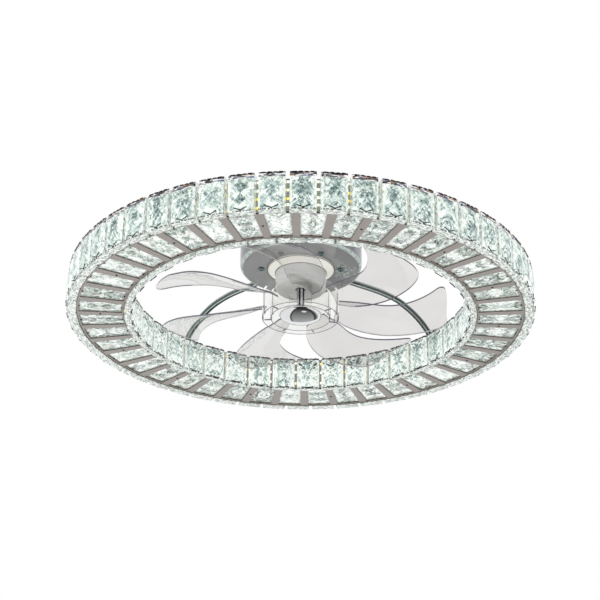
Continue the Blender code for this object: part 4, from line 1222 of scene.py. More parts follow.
@dataclass
class Workshop:
    """What every sub-assembly builds with: the frame, the layout tree and the shared materials."""

    frame: dict
    layout: RingLayout
    materials: dict[str, bpy.types.Material] = field(default_factory=dict)

    def finish(self, finish: Finish) -> bpy.types.Material:
        """Return a finish's material, made once.

        Args:
            finish: The finish.

        Returns:
            Its material.
        """
        if finish.name not in self.materials:
            self.materials[finish.name] = finish.make()
        return self.materials[finish.name]

    def nodes(self, stem: str) -> list[str]:
        """Return the names of the frame's nodes that start with a stem."""
        return [node for node in self.frame["nodes"] if node.startswith(stem)]

    def add(self, piece: bpy.types.Object, body: str, slot: str, *replaced: str) -> None:
        """Put a finished piece on its body.

        Args:
            piece: The piece.
            body: The body that it rides on.
            slot: The record's material slot that it belongs to; a piece of clear acrylic casts no
                shadow.
            replaced: The nodes that it stands for.
        """
        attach(piece, body)
        if replaced:
            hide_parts(*replaced)
        if slot == "clear_acrylic":
            piece.visible_shadow = False
        LOG.info("%s: %d faces on %s", piece.name, len(piece.data.polygons), body)

    def add_turned(
        self, name: str, profile: Profile, steps: int, finish: Finish, body: str, slot: str,
        *replaced: str, closed: bool = True,
    ) -> None:
        """Turn a profile about the fan's axis and put the piece on its body.

        Args:
            name: The piece's name.
            profile: Points of (radius, height), as lathe takes them.
            steps: How many steps make the full turn.
            finish: The piece's finish.
            body: The body that it rides on.
            slot: The record's material slot that it belongs to; a piece of clear acrylic casts no
                shadow.
            replaced: The nodes that it stands for.
            closed: Whether the profile's last point joins its first.
        """
        piece = new_object(name, lathe(name, profile, steps, closed), self.finish(finish))
        self.add(piece, body, slot, *replaced)

    def add_copies(
        self, name: str, template: bpy.types.Mesh, finish: Finish, body: str, slot: str,
        *replaced: str, **sizes: float,
    ) -> None:
        """Set copies of a template out round the fan's axis and put the piece on its body.

        Args:
            name: The piece's name.
            template: The mesh that is copied, which faces +X.
            finish: The piece's finish.
            body: The body that it rides on.
            slot: The record's material slot that it belongs to; a piece of clear acrylic casts no
                shadow.
            replaced: The nodes that it stands for.
            sizes: The layout tree's inputs, by name.
        """
        piece = self.layout.set_out(name, template, Finish=self.finish(finish), **sizes)
        self.add(piece, body, slot, *replaced)

    def dress(self, finish: Finish, *nodes: str) -> None:
        """Give carried-over nodes a finish.

        Args:
            finish: The finish.
            nodes: The nodes' names.
        """
        for node in nodes:
            mesh = self.frame["nodes"][node].data
            mesh.materials.clear()
            mesh.materials.append(self.finish(finish))
            LOG.info("%s: dressed in %s", node, finish.name)


# Ring


@dataclass(frozen=True)
class CutCrystal:
    """One cut crystal, with its back on x = 0, facing +X: bevelled edges round a star of facets."""

    width: float
    height: float
    depth: float
    top_width: Optional[float] = None
    side_bevel: float = 2.2 * MM
    end_bevel: float = 5.8 * MM
    foot_bevel: float = 1.1 * MM
    bevel_depth: float = 1.3 * MM
    crown: float = 1.6 * MM
    diamond: float = 0.52

    @property
    def body(self) -> float:
        """Return the depth of the crystal's straight walls."""
        return self.depth - self.bevel_depth - self.crown

    def mesh(self, name: str) -> bpy.types.Mesh:
        """Build the crystal.

        Args:
            name: The mesh's name.

        Returns:
            The mesh, with each point's place on its face kept for the finish.
        """
        half_w, half_h = self.width / 2, self.height / 2
        taper = (self.top_width or self.width) / self.width
        work = bmesh.new()

        def corner(x: float, y: float, z: float) -> bmesh.types.BMVert:
            """Return a new corner, drawn in or out with the crystal's taper."""
            share = z / self.height + 0.5
            return work.verts.new((x, y * (1 + (taper - 1) * share), z))

        def frame(x: float, side: float, end: float, foot: float) -> list[bmesh.types.BMVert]:
            """Return four corners and the middles between them, anticlockwise from below.

            Args:
                x: How far out the frame lies.
                side: How far its sides are drawn in.
                end: How far its top is drawn in.
                foot: How far its foot is drawn in.

            Returns:
                The eight points.
            """
            y, z, low = half_w - side, half_h - end, foot - half_h
            spots = ((-y, low), (0, low), (y, low), (y, 0), (y, z), (0, z), (-y, z), (-y, 0))
            return [corner(x, *spot) for spot in spots]

        def band(low: list, high: list) -> None:
            """Join two frames with faces.

            Args:
                low: The points of the first frame.
                high: Those of the second.
            """
            for i in range(8):
                j = (i + 1) % 8
                work.faces.new((low[i], low[j], high[j], high[i]))

        back, rim = frame(0.0, 0.0, 0.0, 0.0), frame(self.body, 0.0, 0.0, 0.0)
        table = frame(
            self.body + self.bevel_depth, self.side_bevel, self.end_bevel, self.foot_bevel
        )
        work.faces.new(list(reversed(back)))
        band(back, rim)
        band(rim, table)
        apex = corner(self.depth, 0.0, 0.0)
        x, y, z = self.depth - self.crown * 0.35, half_w * self.diamond, half_h * self.diamond
        star = [corner(x, 0.0, -z), corner(x, y, 0.0), corner(x, 0.0, z), corner(x, -y, 0.0)]
        for i in range(4):
            here, there, middle = star[i], star[(i + 1) % 4], 2 * i + 1
            work.faces.new((here, there, apex))
            work.faces.new((here, table[(middle + 1) % 8], there))
            work.faces.new((table[middle - 1], table[middle], here))
            work.faces.new((table[middle], table[(middle + 1) % 8], here))
        mesh = to_mesh(name, work, smooth=False)
        places = [value for vert in mesh.vertices for value in (vert.co.y, vert.co.z, vert.co.x)]
        mesh.attributes.new("cut", "FLOAT_VECTOR", "POINT").data.foreach_set("vector", places)
        return mesh

    def finish(self, name: str, **tones: object) -> CutFinish:
        """Return the finish that fits this crystal."""
        sizes = (self.height / 2, self.side_bevel, self.end_bevel, self.foot_bevel, self.body)
        return CutFinish(name, max(self.width, self.top_width or 0.0) / 2, *sizes, **tones)


@dataclass(frozen=True)
class CrystalRow:
    """A row of upright crystals, with the sizes that its lamps, wires and claws share with it."""

    side: str
    cut: CutCrystal
    tones: dict[str, object]
    columns: int
    back: float
    board: float
    phase: float
    turn: float
    low: float
    claw_rise: float
    chip: tuple[float, float]
    chip_rows: int
    seed: int
    chip_seed: int

    @property
    def places(self) -> dict[str, float]:
        """Return the layout's inputs that set a piece out at each crystal."""
        spread = {"Columns": self.columns, "Radius": self.back}
        return {**spread, "Phase": self.phase, "Turn": self.turn}


@dataclass
class Ring:
    """The ring: its two plates, its light boards, its crystals, claws and screws."""

    shop: Workshop
    outer: float = 238.0 * MM
    opening: float = 188.0 * MM
    window_inner: float = 189.6 * MM
    window_outer: float = 235.6 * MM
    gauge: float = 1.2 * MM
    windows: int = 42
    spoke: float = math.radians(2.2)
    phase: float = math.radians(3.0)
    edge_round: float = 0.25 * MM
    window_steps: int = 6
    board: float = 1.4 * MM
    flat_board: float = 1.6 * MM
    board_margin: float = 4.2 * MM
    board_steps: int = 168
    rim_shade_steps: int = 210
    lamp_low: float = 7.0 * MM
    lamp_high: float = 4.0 * MM
    lamp_jitter: float = 1.4 * MM
    screw_count: int = 14
    screw_circle: float = 213.0 * MM

    @property
    def pitch(self) -> float:
        """Return the angle between two windows."""
        return FULL_TURN / self.windows

    @property
    def rows(self) -> tuple[CrystalRow, CrystalRow]:
        """Describe the rows of upright crystals round the outside and round the opening.

        Returns:
            The outer and the inner row.
        """
        outer = CrystalRow(
            side="outer", cut=CutCrystal(25.7 * MM, 40.6 * MM, 11.7 * MM), tones={"outline": 0.9},
            columns=52, back=self.outer + CLEARANCE, board=self.outer - CLEARANCE,
            phase=math.radians(270.45), turn=0.0, low=RING_Z - 1.1 * MM, claw_rise=3.4 * MM,
            chip=(2.3 * MM, 2.3 * MM), chip_rows=4, seed=11, chip_seed=3,
        )
        bevels = {"side_bevel": 1.8 * MM, "end_bevel": 2.6 * MM, "foot_bevel": 1.6 * MM}
        tones = {
            "shard": (1.5 * MM, 4.5 * MM), "fleck": (0.8 * MM, 2.0 * MM), "heart": 0.12,
            "heart_height": 0.45, "mist": 0.5, "shimmer": 0.7, "contrast": 1.15, "level": 0.65,
            "dashes": 0.95, "outline": 1.0, "outline_widths": (3.0 * MM, 1.3 * MM),
        }
        inner = CrystalRow(
            side="inner", cut=CutCrystal(25.5 * MM, 38.0 * MM, 9.1 * MM, **bevels), tones=tones,
            columns=40, back=187.0 * MM, board=self.opening + CLEARANCE, phase=math.radians(87.1),
            turn=math.pi, low=RING_Z - 2.5 * MM, claw_rise=1.4 * MM, chip=(2.0 * MM, 2.2 * MM),
            chip_rows=3, seed=19, chip_seed=5,
        )
        return outer, inner

    def annulus(self, name: str, z: float, windows: bool) -> bpy.types.Object:
        """Build a flat ring plate with rounded edges.

        Args:
            name: The plate's name.
            z: The height of its underside.
            windows: Whether it is pierced with windows.

        Returns:
            The plate, in sheet that grows upwards.
        """
        gap = self.pitch - self.spoke
        steps = [(-self.spoke / 2, True), (0.0, True)]
        count = self.window_steps
        steps += [(self.spoke / 2 + gap * i / count, False) for i in range(count)]
        starts = [self.phase + self.pitch * number for number in range(self.windows)]
        angles = [(start + angle, solid) for start in starts for angle, solid in steps]
        radii = (self.opening, self.window_inner, self.window_outer, self.outer)
        work = bmesh.new()
        columns = [[work.verts.new((*polar(r, a), z)) for r in radii] for a, _ in angles]
        for number, (column, (_, solid)) in enumerate(zip(columns, angles)):
            after = columns[(number + 1) % len(columns)]
            for band in range(3):
                if solid or band != 1 or not windows:
                    work.faces.new((column[band], column[band + 1], after[band + 1], after[band]))
        # The plate's cut edges take the second, darker finish: painted shade.
        finishes = [self.shop.finish(finish) for finish in (RING_STEEL, SHADED_CUT_STEEL)]
        plate = new_object(name, flat_mesh(name, work), *finishes)
        wall = plate.modifiers.new("gauge", "SOLIDIFY")
        wall.thickness = self.gauge
        wall.offset = 1.0
        wall.material_offset_rim = 1
        edge = plate.modifiers.new("edge", "BEVEL")
        edge.width = self.edge_round
        edge.segments = 2
        edge.limit_method = "ANGLE"
        edge.angle_limit = math.radians(50)
        return plate

    def plates(self) -> None:
        """Build the bottom plate and the lid."""
        plate = self.annulus("ring_bottom_plate", RING_Z, True)
        self.shop.add(plate, FIXED, "ring_steel", "ring_plate")
        lid = self.annulus("ring_top_plate", RING_TOP_Z - self.gauge, False)
        self.shop.add(lid, FIXED, "ring_steel", "ring_lid")

    def boards(self) -> None:
        """Build the two upright light boards and the flat one over the windows."""
        low, high = RING_Z + self.gauge + CLEARANCE, RING_TOP_Z - self.gauge - CLEARANCE
        outer, inner = self.outer - CLEARANCE, self.opening + CLEARANCE
        near, far = self.opening + self.board_margin, self.outer - self.board_margin
        boards = {
            "outer_light_band_board": (LIGHT_BOARD, "outer_light_band"),
            "inner_light_band_board": (INNER_LIGHT_BOARD, "inner_light_band"),
            "window_board": (LIGHT_BOARD, "window_light_board"),
        }
        sides = (
            (outer - self.board, outer, low), (inner, inner + self.board, low),
            (near, far, high - self.flat_board),
        )
        for (name, (finish, node)), (left, right, base) in zip(boards.items(), sides):
            profile = rectangle(left, right, base, high)
            self.shop.add_turned(
                name, profile, self.board_steps, finish, FIXED, "light_board", node
            )

    @staticmethod
    def chip(width: float, height: float) -> bpy.types.Mesh:
        """Build one lamp chip, with its back on x = 0.

        Args:
            width: The chip's width.
            height: Its height.

        Returns:
            The chip's mesh.
        """
        work = bmesh.new()
        proud = 0.8 * MM
        box(work, (proud, width, height), Matrix.Translation((proud / 2, 0.0, 0.0)))
        top = [face for face in work.faces if face.calc_center_median().x > proud * 0.9]
        bmesh.ops.inset_individual(work, faces=top, thickness=width * 0.18, depth=-proud * 0.15)
        return to_mesh("lamp_chip", work, smooth=False)

    def lamps(self) -> None:
        """Set the lamp chips out in the gaps between the upright crystals."""
        for row in self.rows:
            self.shop.add_copies(
                f"{row.side}_lamps", self.chip(*row.chip), LAMP_CHIP, FIXED, "light_board",
                Columns=row.columns, Rows=row.chip_rows, Radius=row.board,
                Phase=row.phase + math.pi / row.columns, Turn=row.turn, Low=RING_Z + self.lamp_low,
                High=RING_TOP_Z - self.lamp_high, Jitter=self.lamp_jitter, Seed=row.chip_seed,
            )

    def upright_crystals(self) -> None:
        """Build the crystals round the outside and round the opening."""
        for row in self.rows:
            name = f"{row.side}_crystal"
            self.shop.add_copies(
                f"{name}s", row.cut.mesh(name), row.cut.finish(f"{row.side} crystal", **row.tones),
                FIXED, name, *self.shop.nodes(f"{name}s_"), Low=row.low + row.cut.height / 2,
                Seed=row.seed, **row.places,
            )

    def window_crystals(self) -> None:
        """Build the flat crystals over the windows."""
        lap, inner, outer = 0.4 * MM, 190.1 * MM, 235.5 * MM
        depth, lift = 9.8 * MM, 9.0 * MM
        middle, half = (outer + inner) / 2, (outer - inner) / 2
        half_angle = (self.pitch - self.spoke) / 2
        narrow, wide = (2 * ((middle + s * half) * math.sin(half_angle) + lap) for s in (-1, 1))
        bevel = dict.fromkeys(("side_bevel", "end_bevel", "foot_bevel"), 1.2 * MM)
        bevel.update(bevel_depth=0.6 * MM, crown=0.8 * MM)
        cut = CutCrystal(narrow, 2 * half, depth, wide, **bevel)
        mesh = cut.mesh("window_crystal")
        mesh.transform(Matrix.Rotation(math.pi / 2, 4, "Y"))
        palette = stops(
            (0.10, 72, 86, 80), (0.32, 134, 149, 142), (0.48, 178, 192, 185), (0.62, 210, 222, 215),
            (0.86, 248, 253, 249),
        )
        finish = cut.finish(
            "window crystal", shard=(3.2 * MM, 13.0 * MM), fleck=(1.6 * MM, 5.0 * MM),
            palette=palette, lean=math.radians(36), heart=0.06, mist=0.25, seams=1.4, shimmer=0.0,
            lamps=0.5, contrast=1.05, level=0.63, blush=0.5, outline=0.35,
        )
        self.shop.add_copies(
            "window_crystals", mesh, finish, FIXED, "window_crystal",
            *self.shop.nodes("window_crystals_"), Columns=self.windows, Radius=middle,
            Phase=self.phase + self.pitch / 2, Low=RING_Z + self.gauge + CLEARANCE + lift, Seed=23,
        )

    def tooth(self) -> bpy.types.Mesh:
        """Build a small punched tooth that points along +X from a plate's edge.

        Returns:
            The tooth's mesh.
        """
        work = bmesh.new()
        width, length, lap = 3.6 * MM, 2.0 * MM, 0.6 * MM
        half = [(-lap, width / 2), (length * 0.3, width / 4)]
        outline = [(x, -y) for x, y in half] + [(length, 0.0)] + list(reversed(half))
        low, high = (
            [work.verts.new((x, y, z)) for x, y in outline] for z in (0.0, self.gauge * 0.8)
        )
        work.faces.new(list(reversed(low)))
        work.faces.new(high)
        for i in range(len(outline)):
            j = (i + 1) % len(outline)
            work.faces.new((low[i], low[j], high[j], high[i]))
        return to_mesh("tooth", work, smooth=False)

    def claws(self) -> None:
        """Set out the window teeth, and the wires and claws of the upright crystals."""
        edges = {
            "inner_teeth": (self.window_inner, 0.0), "outer_teeth": (self.window_outer, math.pi)
        }
        # The teeth are in the dark claw steel, which also paints the shade beside them.
        for name, (radius, turn) in edges.items():
            self.shop.add_copies(
                name, self.tooth(), CLAW_STEEL, FIXED, "ring_steel", Columns=self.windows,
                Radius=radius, Phase=self.phase + self.pitch / 2, Turn=turn, Low=RING_Z + 0.1 * MM,
            )
        for row in self.rows:
            fittings = {"wires": self.top_wire(row.cut), "claws": self.claw(row.cut, row.claw_rise)}
            for kind, mesh in fittings.items():
                name = f"{row.side}_{kind}"
                self.shop.add_copies(
                    name, mesh, CLAW_STEEL, FIXED, "ring_steel", Low=row.low, **row.places
                )

    @staticmethod
    def claw(cut: CutCrystal, rise: float) -> bpy.types.Mesh:
        """Build a spring claw: two wires that spread up a crystal's lower bevel from a small foot.

        Args:
            cut: The crystal that it holds.
            rise: How high its wires reach.

        Returns:
            The claw's mesh.
        """
        work = bmesh.new()
        wire, spread = 0.75 * MM, 6.4 * MM
        foot = Vector((cut.depth - 1.6 * MM, 0.0, 0.9 * MM))
        for side in (-1, 1):
            bar(work, foot, Vector((cut.depth - 0.9 * MM, side * spread, rise)), wire)
        bar(work, Vector((cut.depth - 4.4 * MM, 0.0, 0.4 * MM)), foot, 1.6 * MM, 0.7 * MM)
        return to_mesh("claw", work, smooth=False)

    @staticmethod
    def top_wire(cut: CutCrystal) -> bpy.types.Mesh:
        """Build the broken retaining wire that lies along a crystal's top edge.

        Args:
            cut: The crystal that it holds.

        Returns:
            The wire's mesh.
        """
        work = bmesh.new()
        x = cut.depth - 2.7 * MM
        pieces = ((-10.8, -6.0, 0.9), (-4.2, -0.4, 0.5), (1.6, 4.8, 0.8), (6.8, 10.6, 0.6))
        for near, far, drop in pieces:
            start = Vector((x, near * MM, cut.height - drop * MM))
            end = Vector((x, far * MM, cut.height - 0.8 * MM))
            bar(work, start, end, 1.3 * MM)
        return to_mesh("top_wire", work, smooth=False)

    def rim_shades(self) -> None:
        """Build dark rings along the rims of the bottom plate: painted shade at its edges."""
        rims = {
            "inner_lip": (self.opening, self.opening + 0.3 * MM),
            "outer_lip": (self.outer - 0.4 * MM, self.outer),
        }
        for name, (near, far) in rims.items():
            profile = rectangle(near, far, RING_Z - 0.5 * MM, RING_Z + 0.3 * MM)
            self.shop.add_turned(name, profile, self.rim_shade_steps, RIM_SHADE_STEEL, FIXED, "ring_steel")

    def screws(self) -> None:
        """Set out the small screws in the spokes of the bottom plate."""
        head = ((0.0, -0.7), (0.7, -0.6), (1.25, -0.25), (1.3, 0.2), (0.0, 0.2))
        profile = [(radius * MM, height * MM) for radius, height in head]
        self.shop.add_copies(
            "ring_screws", lathe("ring_screw", profile, 12, closed=False), CLAW_STEEL, FIXED,
            "ring_steel", Columns=self.screw_count, Radius=self.screw_circle, Phase=self.phase,
            Low=RING_Z,
        )

    def build(self) -> None:
        """Build the whole ring."""
        self.plates()
        self.boards()
        self.lamps()
        self.upright_crystals()
        self.window_crystals()
        self.claws()
        self.rim_shades()
        self.screws()


# Canopy and arms


@dataclass
class Canopy:
    """The chrome drum with its screws, and the arms that hang the ring from it."""

    shop: Workshop
    radius: float = 66.0 * MM
    height: float = 70.0 * MM
    wall: float = 1.2 * MM
    fillet: float = 4.5 * MM
    mouth: float = 33.0 * MM
    screw_count: int = 6
    screw_circle: float = 43.0 * MM
    arm_count: int = 4
    arm_radius: float = 3.5 * MM
    arm_azimuth: float = math.radians(41.5)
    arm_inset: float = 6.5 * MM
    arm_lift: float = 9.5 * MM
    arm_end: float = 199.0 * MM
    arm_reach: tuple[float, ...] = (0.0, 0.053, 0.22, 0.44, 0.62, 0.76, 0.88, 0.965, 1.0, 1.0)
    arm_rise: tuple[float, ...] = (1.0, 1.0, 1.05, 1.1, 1.05, 0.89, 0.64, 0.36, 0.12, 0.0)

    def shell(self) -> None:
        """Build the drum."""
        floor, inner = -self.height, self.radius - self.wall
        profile = [
            (self.radius, 0.0), (self.radius, floor), (self.mouth, floor),
            (self.mouth, floor + self.wall), (inner, floor + self.wall), (inner, 0.0),
        ]
        radii = {0: 0.3 * MM, 1: self.fillet, 2: 0.4 * MM, 4: self.fillet - self.wall}
        profile = rounded(profile, radii, 7)
        self.shop.add_turned(
            "canopy_drum", profile, 144, CANOPY_CHROME, FIXED, "chrome_plate", "canopy_shell"
        )

    @staticmethod
    def screw() -> bpy.types.Mesh:
        """Build a pan head screw with a cross recess, its head down.

        Returns:
            The screw's mesh.
        """
        head, drop, shank, top, seat = 3.4 * MM, 2.1 * MM, 2.0 * MM, 7.5 * MM, -0.3 * MM
        profile = [(0.0, top), (shank, top), (shank, seat), (head, seat), (head, -1.1 * MM)]
        profile += [(head * 0.9, -1.6 * MM), (head * 0.6, -drop), (0.0, -drop)]
        name = "canopy_screw_blank"
        blank = new_object(name, lathe(name, profile, 24, closed=False))
        work = bmesh.new()
        for turn in (0.0, math.pi / 2):
            place = Matrix.Translation((0.0, 0.0, -drop)) @ Matrix.Rotation(turn, 4, "Z")
            box(work, (head * 1.15, 0.8 * MM, 2.2 * MM), place)
        cutter = new_object("recess", to_mesh("recess", work, smooth=False))
        cut = blank.modifiers.new("recess", "BOOLEAN")
        cut.operation, cut.solver, cut.object = "DIFFERENCE", "EXACT", cutter
        cut.use_self = True
        mesh = baked(blank)
        bpy.data.objects.remove(cutter, do_unlink=True)
        return mesh

    def screws(self) -> None:
        """Set out the screws in the drum's floor."""
        self.shop.add_copies(
            "canopy_screws", self.screw(), SCREW_CHROME, FIXED, "chrome_plate",
            *self.shop.nodes("canopy_screw_"), Columns=self.screw_count, Radius=self.screw_circle,
            Phase=0.0, Low=-self.height,
        )

    def arms(self) -> None:
        """Build the bent arms."""
        start_r, start_z = self.radius - self.wall - self.arm_inset, -self.height + self.arm_lift
        end_z = RING_TOP_Z + CLEARANCE
        route = []
        for share in [0.0] + [i / 64 for i in range(8, 57)] + [1.0]:
            radius = start_r + (self.arm_end - start_r) * smooth_table(self.arm_reach, share)
            height = end_z + (start_z - end_z) * smooth_table(self.arm_rise, share)
            route.append(Vector((radius, 0.0, height)))
        bent = sweep("arm_bar", route, self.arm_radius, 20)
        for number in range(self.arm_count):
            mesh = turned_about_z(bent, self.arm_azimuth + FULL_TURN * number / self.arm_count)
            piece = new_object(f"arm_bar_{number + 1}", mesh, self.shop.finish(ARM_CHROME))
            self.shop.add(piece, FIXED, "chrome_plate", f"arm_{number + 1}")

    def build(self) -> None:
        """Build the canopy and its arms, and dress what they hide."""
        self.shell()
        self.screws()
        self.arms()
        self.shop.dress(ZINC, "ceiling_plate", "chassis_plate", *self.shop.nodes("chassis_pillar_"))
        self.shop.dress(ZINC, *self.shop.nodes("arm_nut_"))
        self.shop.dress(CASE, "light_driver", "fan_controller")
        self.shop.dress(BLOCK, "terminal_block")
        self.shop.dress(SLEEVE, "motor_lead")


# Motor


@dataclass
class Motor:
    """The motor can, its collar and what turns inside it."""

    shop: Workshop
    radius: float = 27.0 * MM
    wall: float = 1.5 * MM
    bottom: float = -95.0 * MM
    bottom_wall: float = 2.0 * MM
    bore: float = 5.6 * MM
    flange_radius: float = 36.0 * MM
    flange_z: float = -65.7 * MM
    floor: float = -70.0 * MM
    seam: float = -87.0 * MM
    groove: float = 0.35 * MM
    steps: int = 96

    def can(self) -> None:
        """Build the can, with the seam of its lower cap."""
        top = self.flange_z + self.wall
        inner, bottom = self.radius - self.wall, self.bottom + self.bottom_wall
        profile = [
            (self.flange_radius, top), (self.flange_radius, self.flange_z),
            (self.radius, self.flange_z), (self.radius, self.seam + self.groove),
            (self.radius - self.groove, self.seam), (self.radius, self.seam - self.groove),
            (self.radius, self.bottom), (self.bore, self.bottom), (self.bore, bottom),
            (inner, bottom), (inner, top),
        ]
        profile = rounded(profile, {6: 2.2 * MM, 7: 0.4 * MM}, 5)
        self.shop.add_turned(
            "motor_can", profile, self.steps, MOTOR_PAINT, FIXED, "motor_paint", "motor_housing"
        )

    def collar(self) -> None:
        """Build the cream funnel round the can and the dark rings at its two rims, which are
        painted shade in the gaps.
        """
        top, low = self.floor - CLEARANCE, self.floor - 5.5 * MM
        outer, inner = self.flange_radius, self.radius + CLEARANCE
        gap_shades = (
            (inner - 0.1 * MM, inner + 0.5 * MM, low),
            (outer - 0.3 * MM, outer + 0.3 * MM, top - 1.2 * MM),
        )
        for number, (near, far, height) in enumerate(gap_shades):
            ring = rectangle(near, far, height - 0.4 * MM, height)
            name = f"motor_seal_{number + 1}"
            self.shop.add_turned(name, ring, self.steps, GAP_SHADE, FIXED, "cream_plastic")
        profile = [
            (outer, top), (outer, top - 1.1 * MM), (31.6 * MM, top - 3.6 * MM),
            (inner + 1.5 * MM, low), (inner, low), (inner, top),
        ]
        profile = rounded(profile, {1: 0.8 * MM, 2: 2.5 * MM, 3: 0.5 * MM}, 4)
        self.shop.add_turned(
            "motor_funnel", profile, self.steps, COLLAR_NYLON, FIXED, "cream_plastic",
            "motor_collar",
        )

    def build(self) -> None:
        """Build the motor and dress what it hides."""
        self.can()
        self.collar()
        self.shop.dress(ZINC, "motor_lid")
        self.shop.dress(LAMINATIONS, "stator", "rotor_magnet")
        self.shop.dress(BEARING_STEEL, "lower_bearing", "upper_bearing")


# Fan


class BladeFace(IntEnum):
    """The material slots of a blade."""

    SHEET = 0
    SHADED_EDGE = 1
    LIT_EDGE = 2


@dataclass
class Fan:
    """The clear hub and blades, the shaft, the nut and the chrome dome cap."""

    shop: Workshop
    blades: int = 7
    blade_azimuth: float = math.radians(222.2)
    hub_radius: float = 41.0 * MM
    hub_top: float = -98.0 * MM
    hub_height: float = 31.0 * MM
    hub_wall: float = 2.0 * MM
    hub_steps: int = 112
    ring_radius: float = 32.0 * MM
    boss_radius: float = 12.0 * MM
    bore: float = 4.1 * MM
    flange_radius: float = 23.0 * MM
    flange_rise: float = 4.0 * MM
    tip_radius: float = 166.4 * MM
    lead_degrees: tuple[float, ...] = (
        -15.4, -16.8, -16.3, -15.4, -16.7, -20.6, -25.6, -31.4, -35.6
    )
    trail_degrees: tuple[float, ...] = (13.0, 15.5, 14.4, 12.4, 9.9, 6.9, 3.2, -2.1, -10.1)
    lead_rise: tuple[float, ...] = (0.98, 0.87, 0.76, 0.67, 0.64, 0.66, 0.74, 0.83, 0.96)
    trail_rise: tuple[float, ...] = (0.11, -0.13, -0.29, -0.37, -0.38, -0.31, -0.21, -0.14, -0.23)
    tip_shares: tuple[float, ...] = (0.94, 0.94, 0.94, 0.94, 0.95, 0.97)
    corner_share: float = 0.15
    corner_radius: float = 8.0 * MM
    thickness: float = 1.6 * MM
    pitch: float = 14.0 * MM
    camber: float = 2.5 * MM
    root_rise: float = 7.5 * MM
    # Where the blades' cut edges take the painted shade: facing the front, or facing right beyond a
    # point in front.
    shade_front: float = -0.15
    shade_right: float = 0.2
    shade_beyond: float = -20.0 * MM

    @property
    def hub_low(self) -> float:
        """Return the height of the hub's lower rim."""
        return self.hub_top - self.hub_height

    def hub(self) -> None:
        """Build the hub: a top disc, a wall, an inner ring, a boss and the dome's flange."""
        wall, low, top = self.hub_wall, self.hub_low, self.hub_top
        inner, ceiling = self.hub_radius - wall, top - wall
        ring_inner = self.ring_radius - wall
        flange = low + self.flange_rise
        profile = [
            (self.hub_radius, top), (self.hub_radius, low), (inner, low), (inner, ceiling),
            (self.ring_radius, ceiling), (self.ring_radius, low), (ring_inner, low),
            (ring_inner, ceiling), (self.boss_radius, ceiling), (self.boss_radius, flange + wall),
            (self.flange_radius, flange + wall), (self.flange_radius, flange), (self.bore, flange),
            (self.bore, top),
        ]
        radii = {0: 1.5 * MM, 1: 0.5 * MM, 8: 1.0 * MM}
        radii.update(dict.fromkeys((2, 5, 6, 10), 0.4 * MM))
        profile = rounded(profile, radii, 3)
        self.shop.add_turned(
            "hub_shell", profile, self.hub_steps, CLEAR_HUB, ROTOR, "clear_acrylic", "blade_hub"
        )
        # Dark rings at the hub's two lower rims draw its edge lines as painted shade.
        for number, radius in enumerate((self.hub_radius, self.ring_radius)):
            rim = rectangle(radius - 0.6 * MM, radius + 0.05 * MM, low - 0.05 * MM, low + 0.3 * MM)
            self.shop.add_turned(
                f"hub_rim_{number + 1}", rim, self.hub_steps, SHADED_EDGE, ROTOR, "clear_acrylic"
            )

    def ribs(self) -> None:
        """Set out the ribs between the hub's inner ring and its wall."""
        work = bmesh.new()
        inner, outer = self.ring_radius + 0.05 * MM, self.hub_radius - self.hub_wall - 0.05 * MM
        box(work, (outer - inner, 0.7 * MM, 1.2 * MM), Matrix.Identity(4))
        # The ribs take the dark edge colour: painted shade on clear ribs.
        self.shop.add_copies(
            "hub_ribs", to_mesh("hub_rib", work, smooth=False), SHADED_EDGE, ROTOR, "clear_acrylic",
            Columns=self.blades, Radius=(inner + outer) / 2, Phase=self.blade_azimuth,
            Low=self.hub_low + 0.8 * MM,
        )

    def blade_place(self, along: float, across: float) -> Vector:
        """Return a point of a blade's middle surface.

        Args:
            along: From 0 at the root to 1 at the tip.
            across: From 0 at the leading edge to 1 at the trailing edge.

        Returns:
            The point, on the blade that points along +X.
        """
        root = self.hub_radius + CLEARANCE
        corner = max(0.0, 1 - min(across, 1 - across) / self.corner_share)
        cut = 1 - math.sqrt(max(0.0, 1 - corner**2))
        tip = self.tip_radius * smooth_table(self.tip_shares, across) - self.corner_radius * cut
        radius = root + (tip - root) * along
        share = (radius - root) / (self.tip_radius - root)
        lead = smooth_table(self.lead_degrees, share)
        trail = smooth_table(self.trail_degrees, share)
        high, low = smooth_table(self.lead_rise, share), smooth_table(self.trail_rise, share)
        azimuth = math.radians(lead + (trail - lead) * across)
        rise = self.pitch * (high + (low - high) * across) + self.camber * 4 * across * (1 - across)
        return Vector((*polar(radius, azimuth), self.hub_low + self.root_rise + rise))

    def blade_mesh(self, rows: int = 40, columns: int = 22) -> bpy.types.Mesh:
        """Build one blade, with all its cut edges in the pale painted highlight.

        Args:
            rows: How many steps run from the root to the tip.
            columns: How many steps run across, closer at the two edges.

        Returns:
            The blade's mesh.
        """
        steps = [0.5 - 0.5 * math.cos(math.pi * j / columns) for j in range(columns + 1)]
        places = [[self.blade_place(i / rows, across) for across in steps] for i in range(rows + 1)]
        lifts = [Vector((0.0, 0.0, side * self.thickness / 2)) for side in (1, -1)]
        work = bmesh.new()
        top, bottom = (
            [[work.verts.new(place + lift) for place in line] for line in places] for lift in lifts
        )
        for i in range(rows):
            for j in range(columns):
                square = ((i, j), (i + 1, j), (i + 1, j + 1), (i, j + 1))
                work.faces.new([top[row][column] for row, column in square])
                work.faces.new([bottom[row][column] for row, column in reversed(square)])
        border = [(i, 0) for i in range(rows)] + [(rows, j) for j in range(columns)]
        border += [(i, columns) for i in range(rows, 0, -1)]
        border += [(0, j) for j in range(columns, 0, -1)]
        for (i, j), (k, m) in zip(border, border[1:] + border[:1]):
            edge = work.faces.new((top[i][j], bottom[i][j], bottom[k][m], top[k][m]))
            edge.material_index = BladeFace.LIT_EDGE
        return to_mesh("blade_sheet", work)

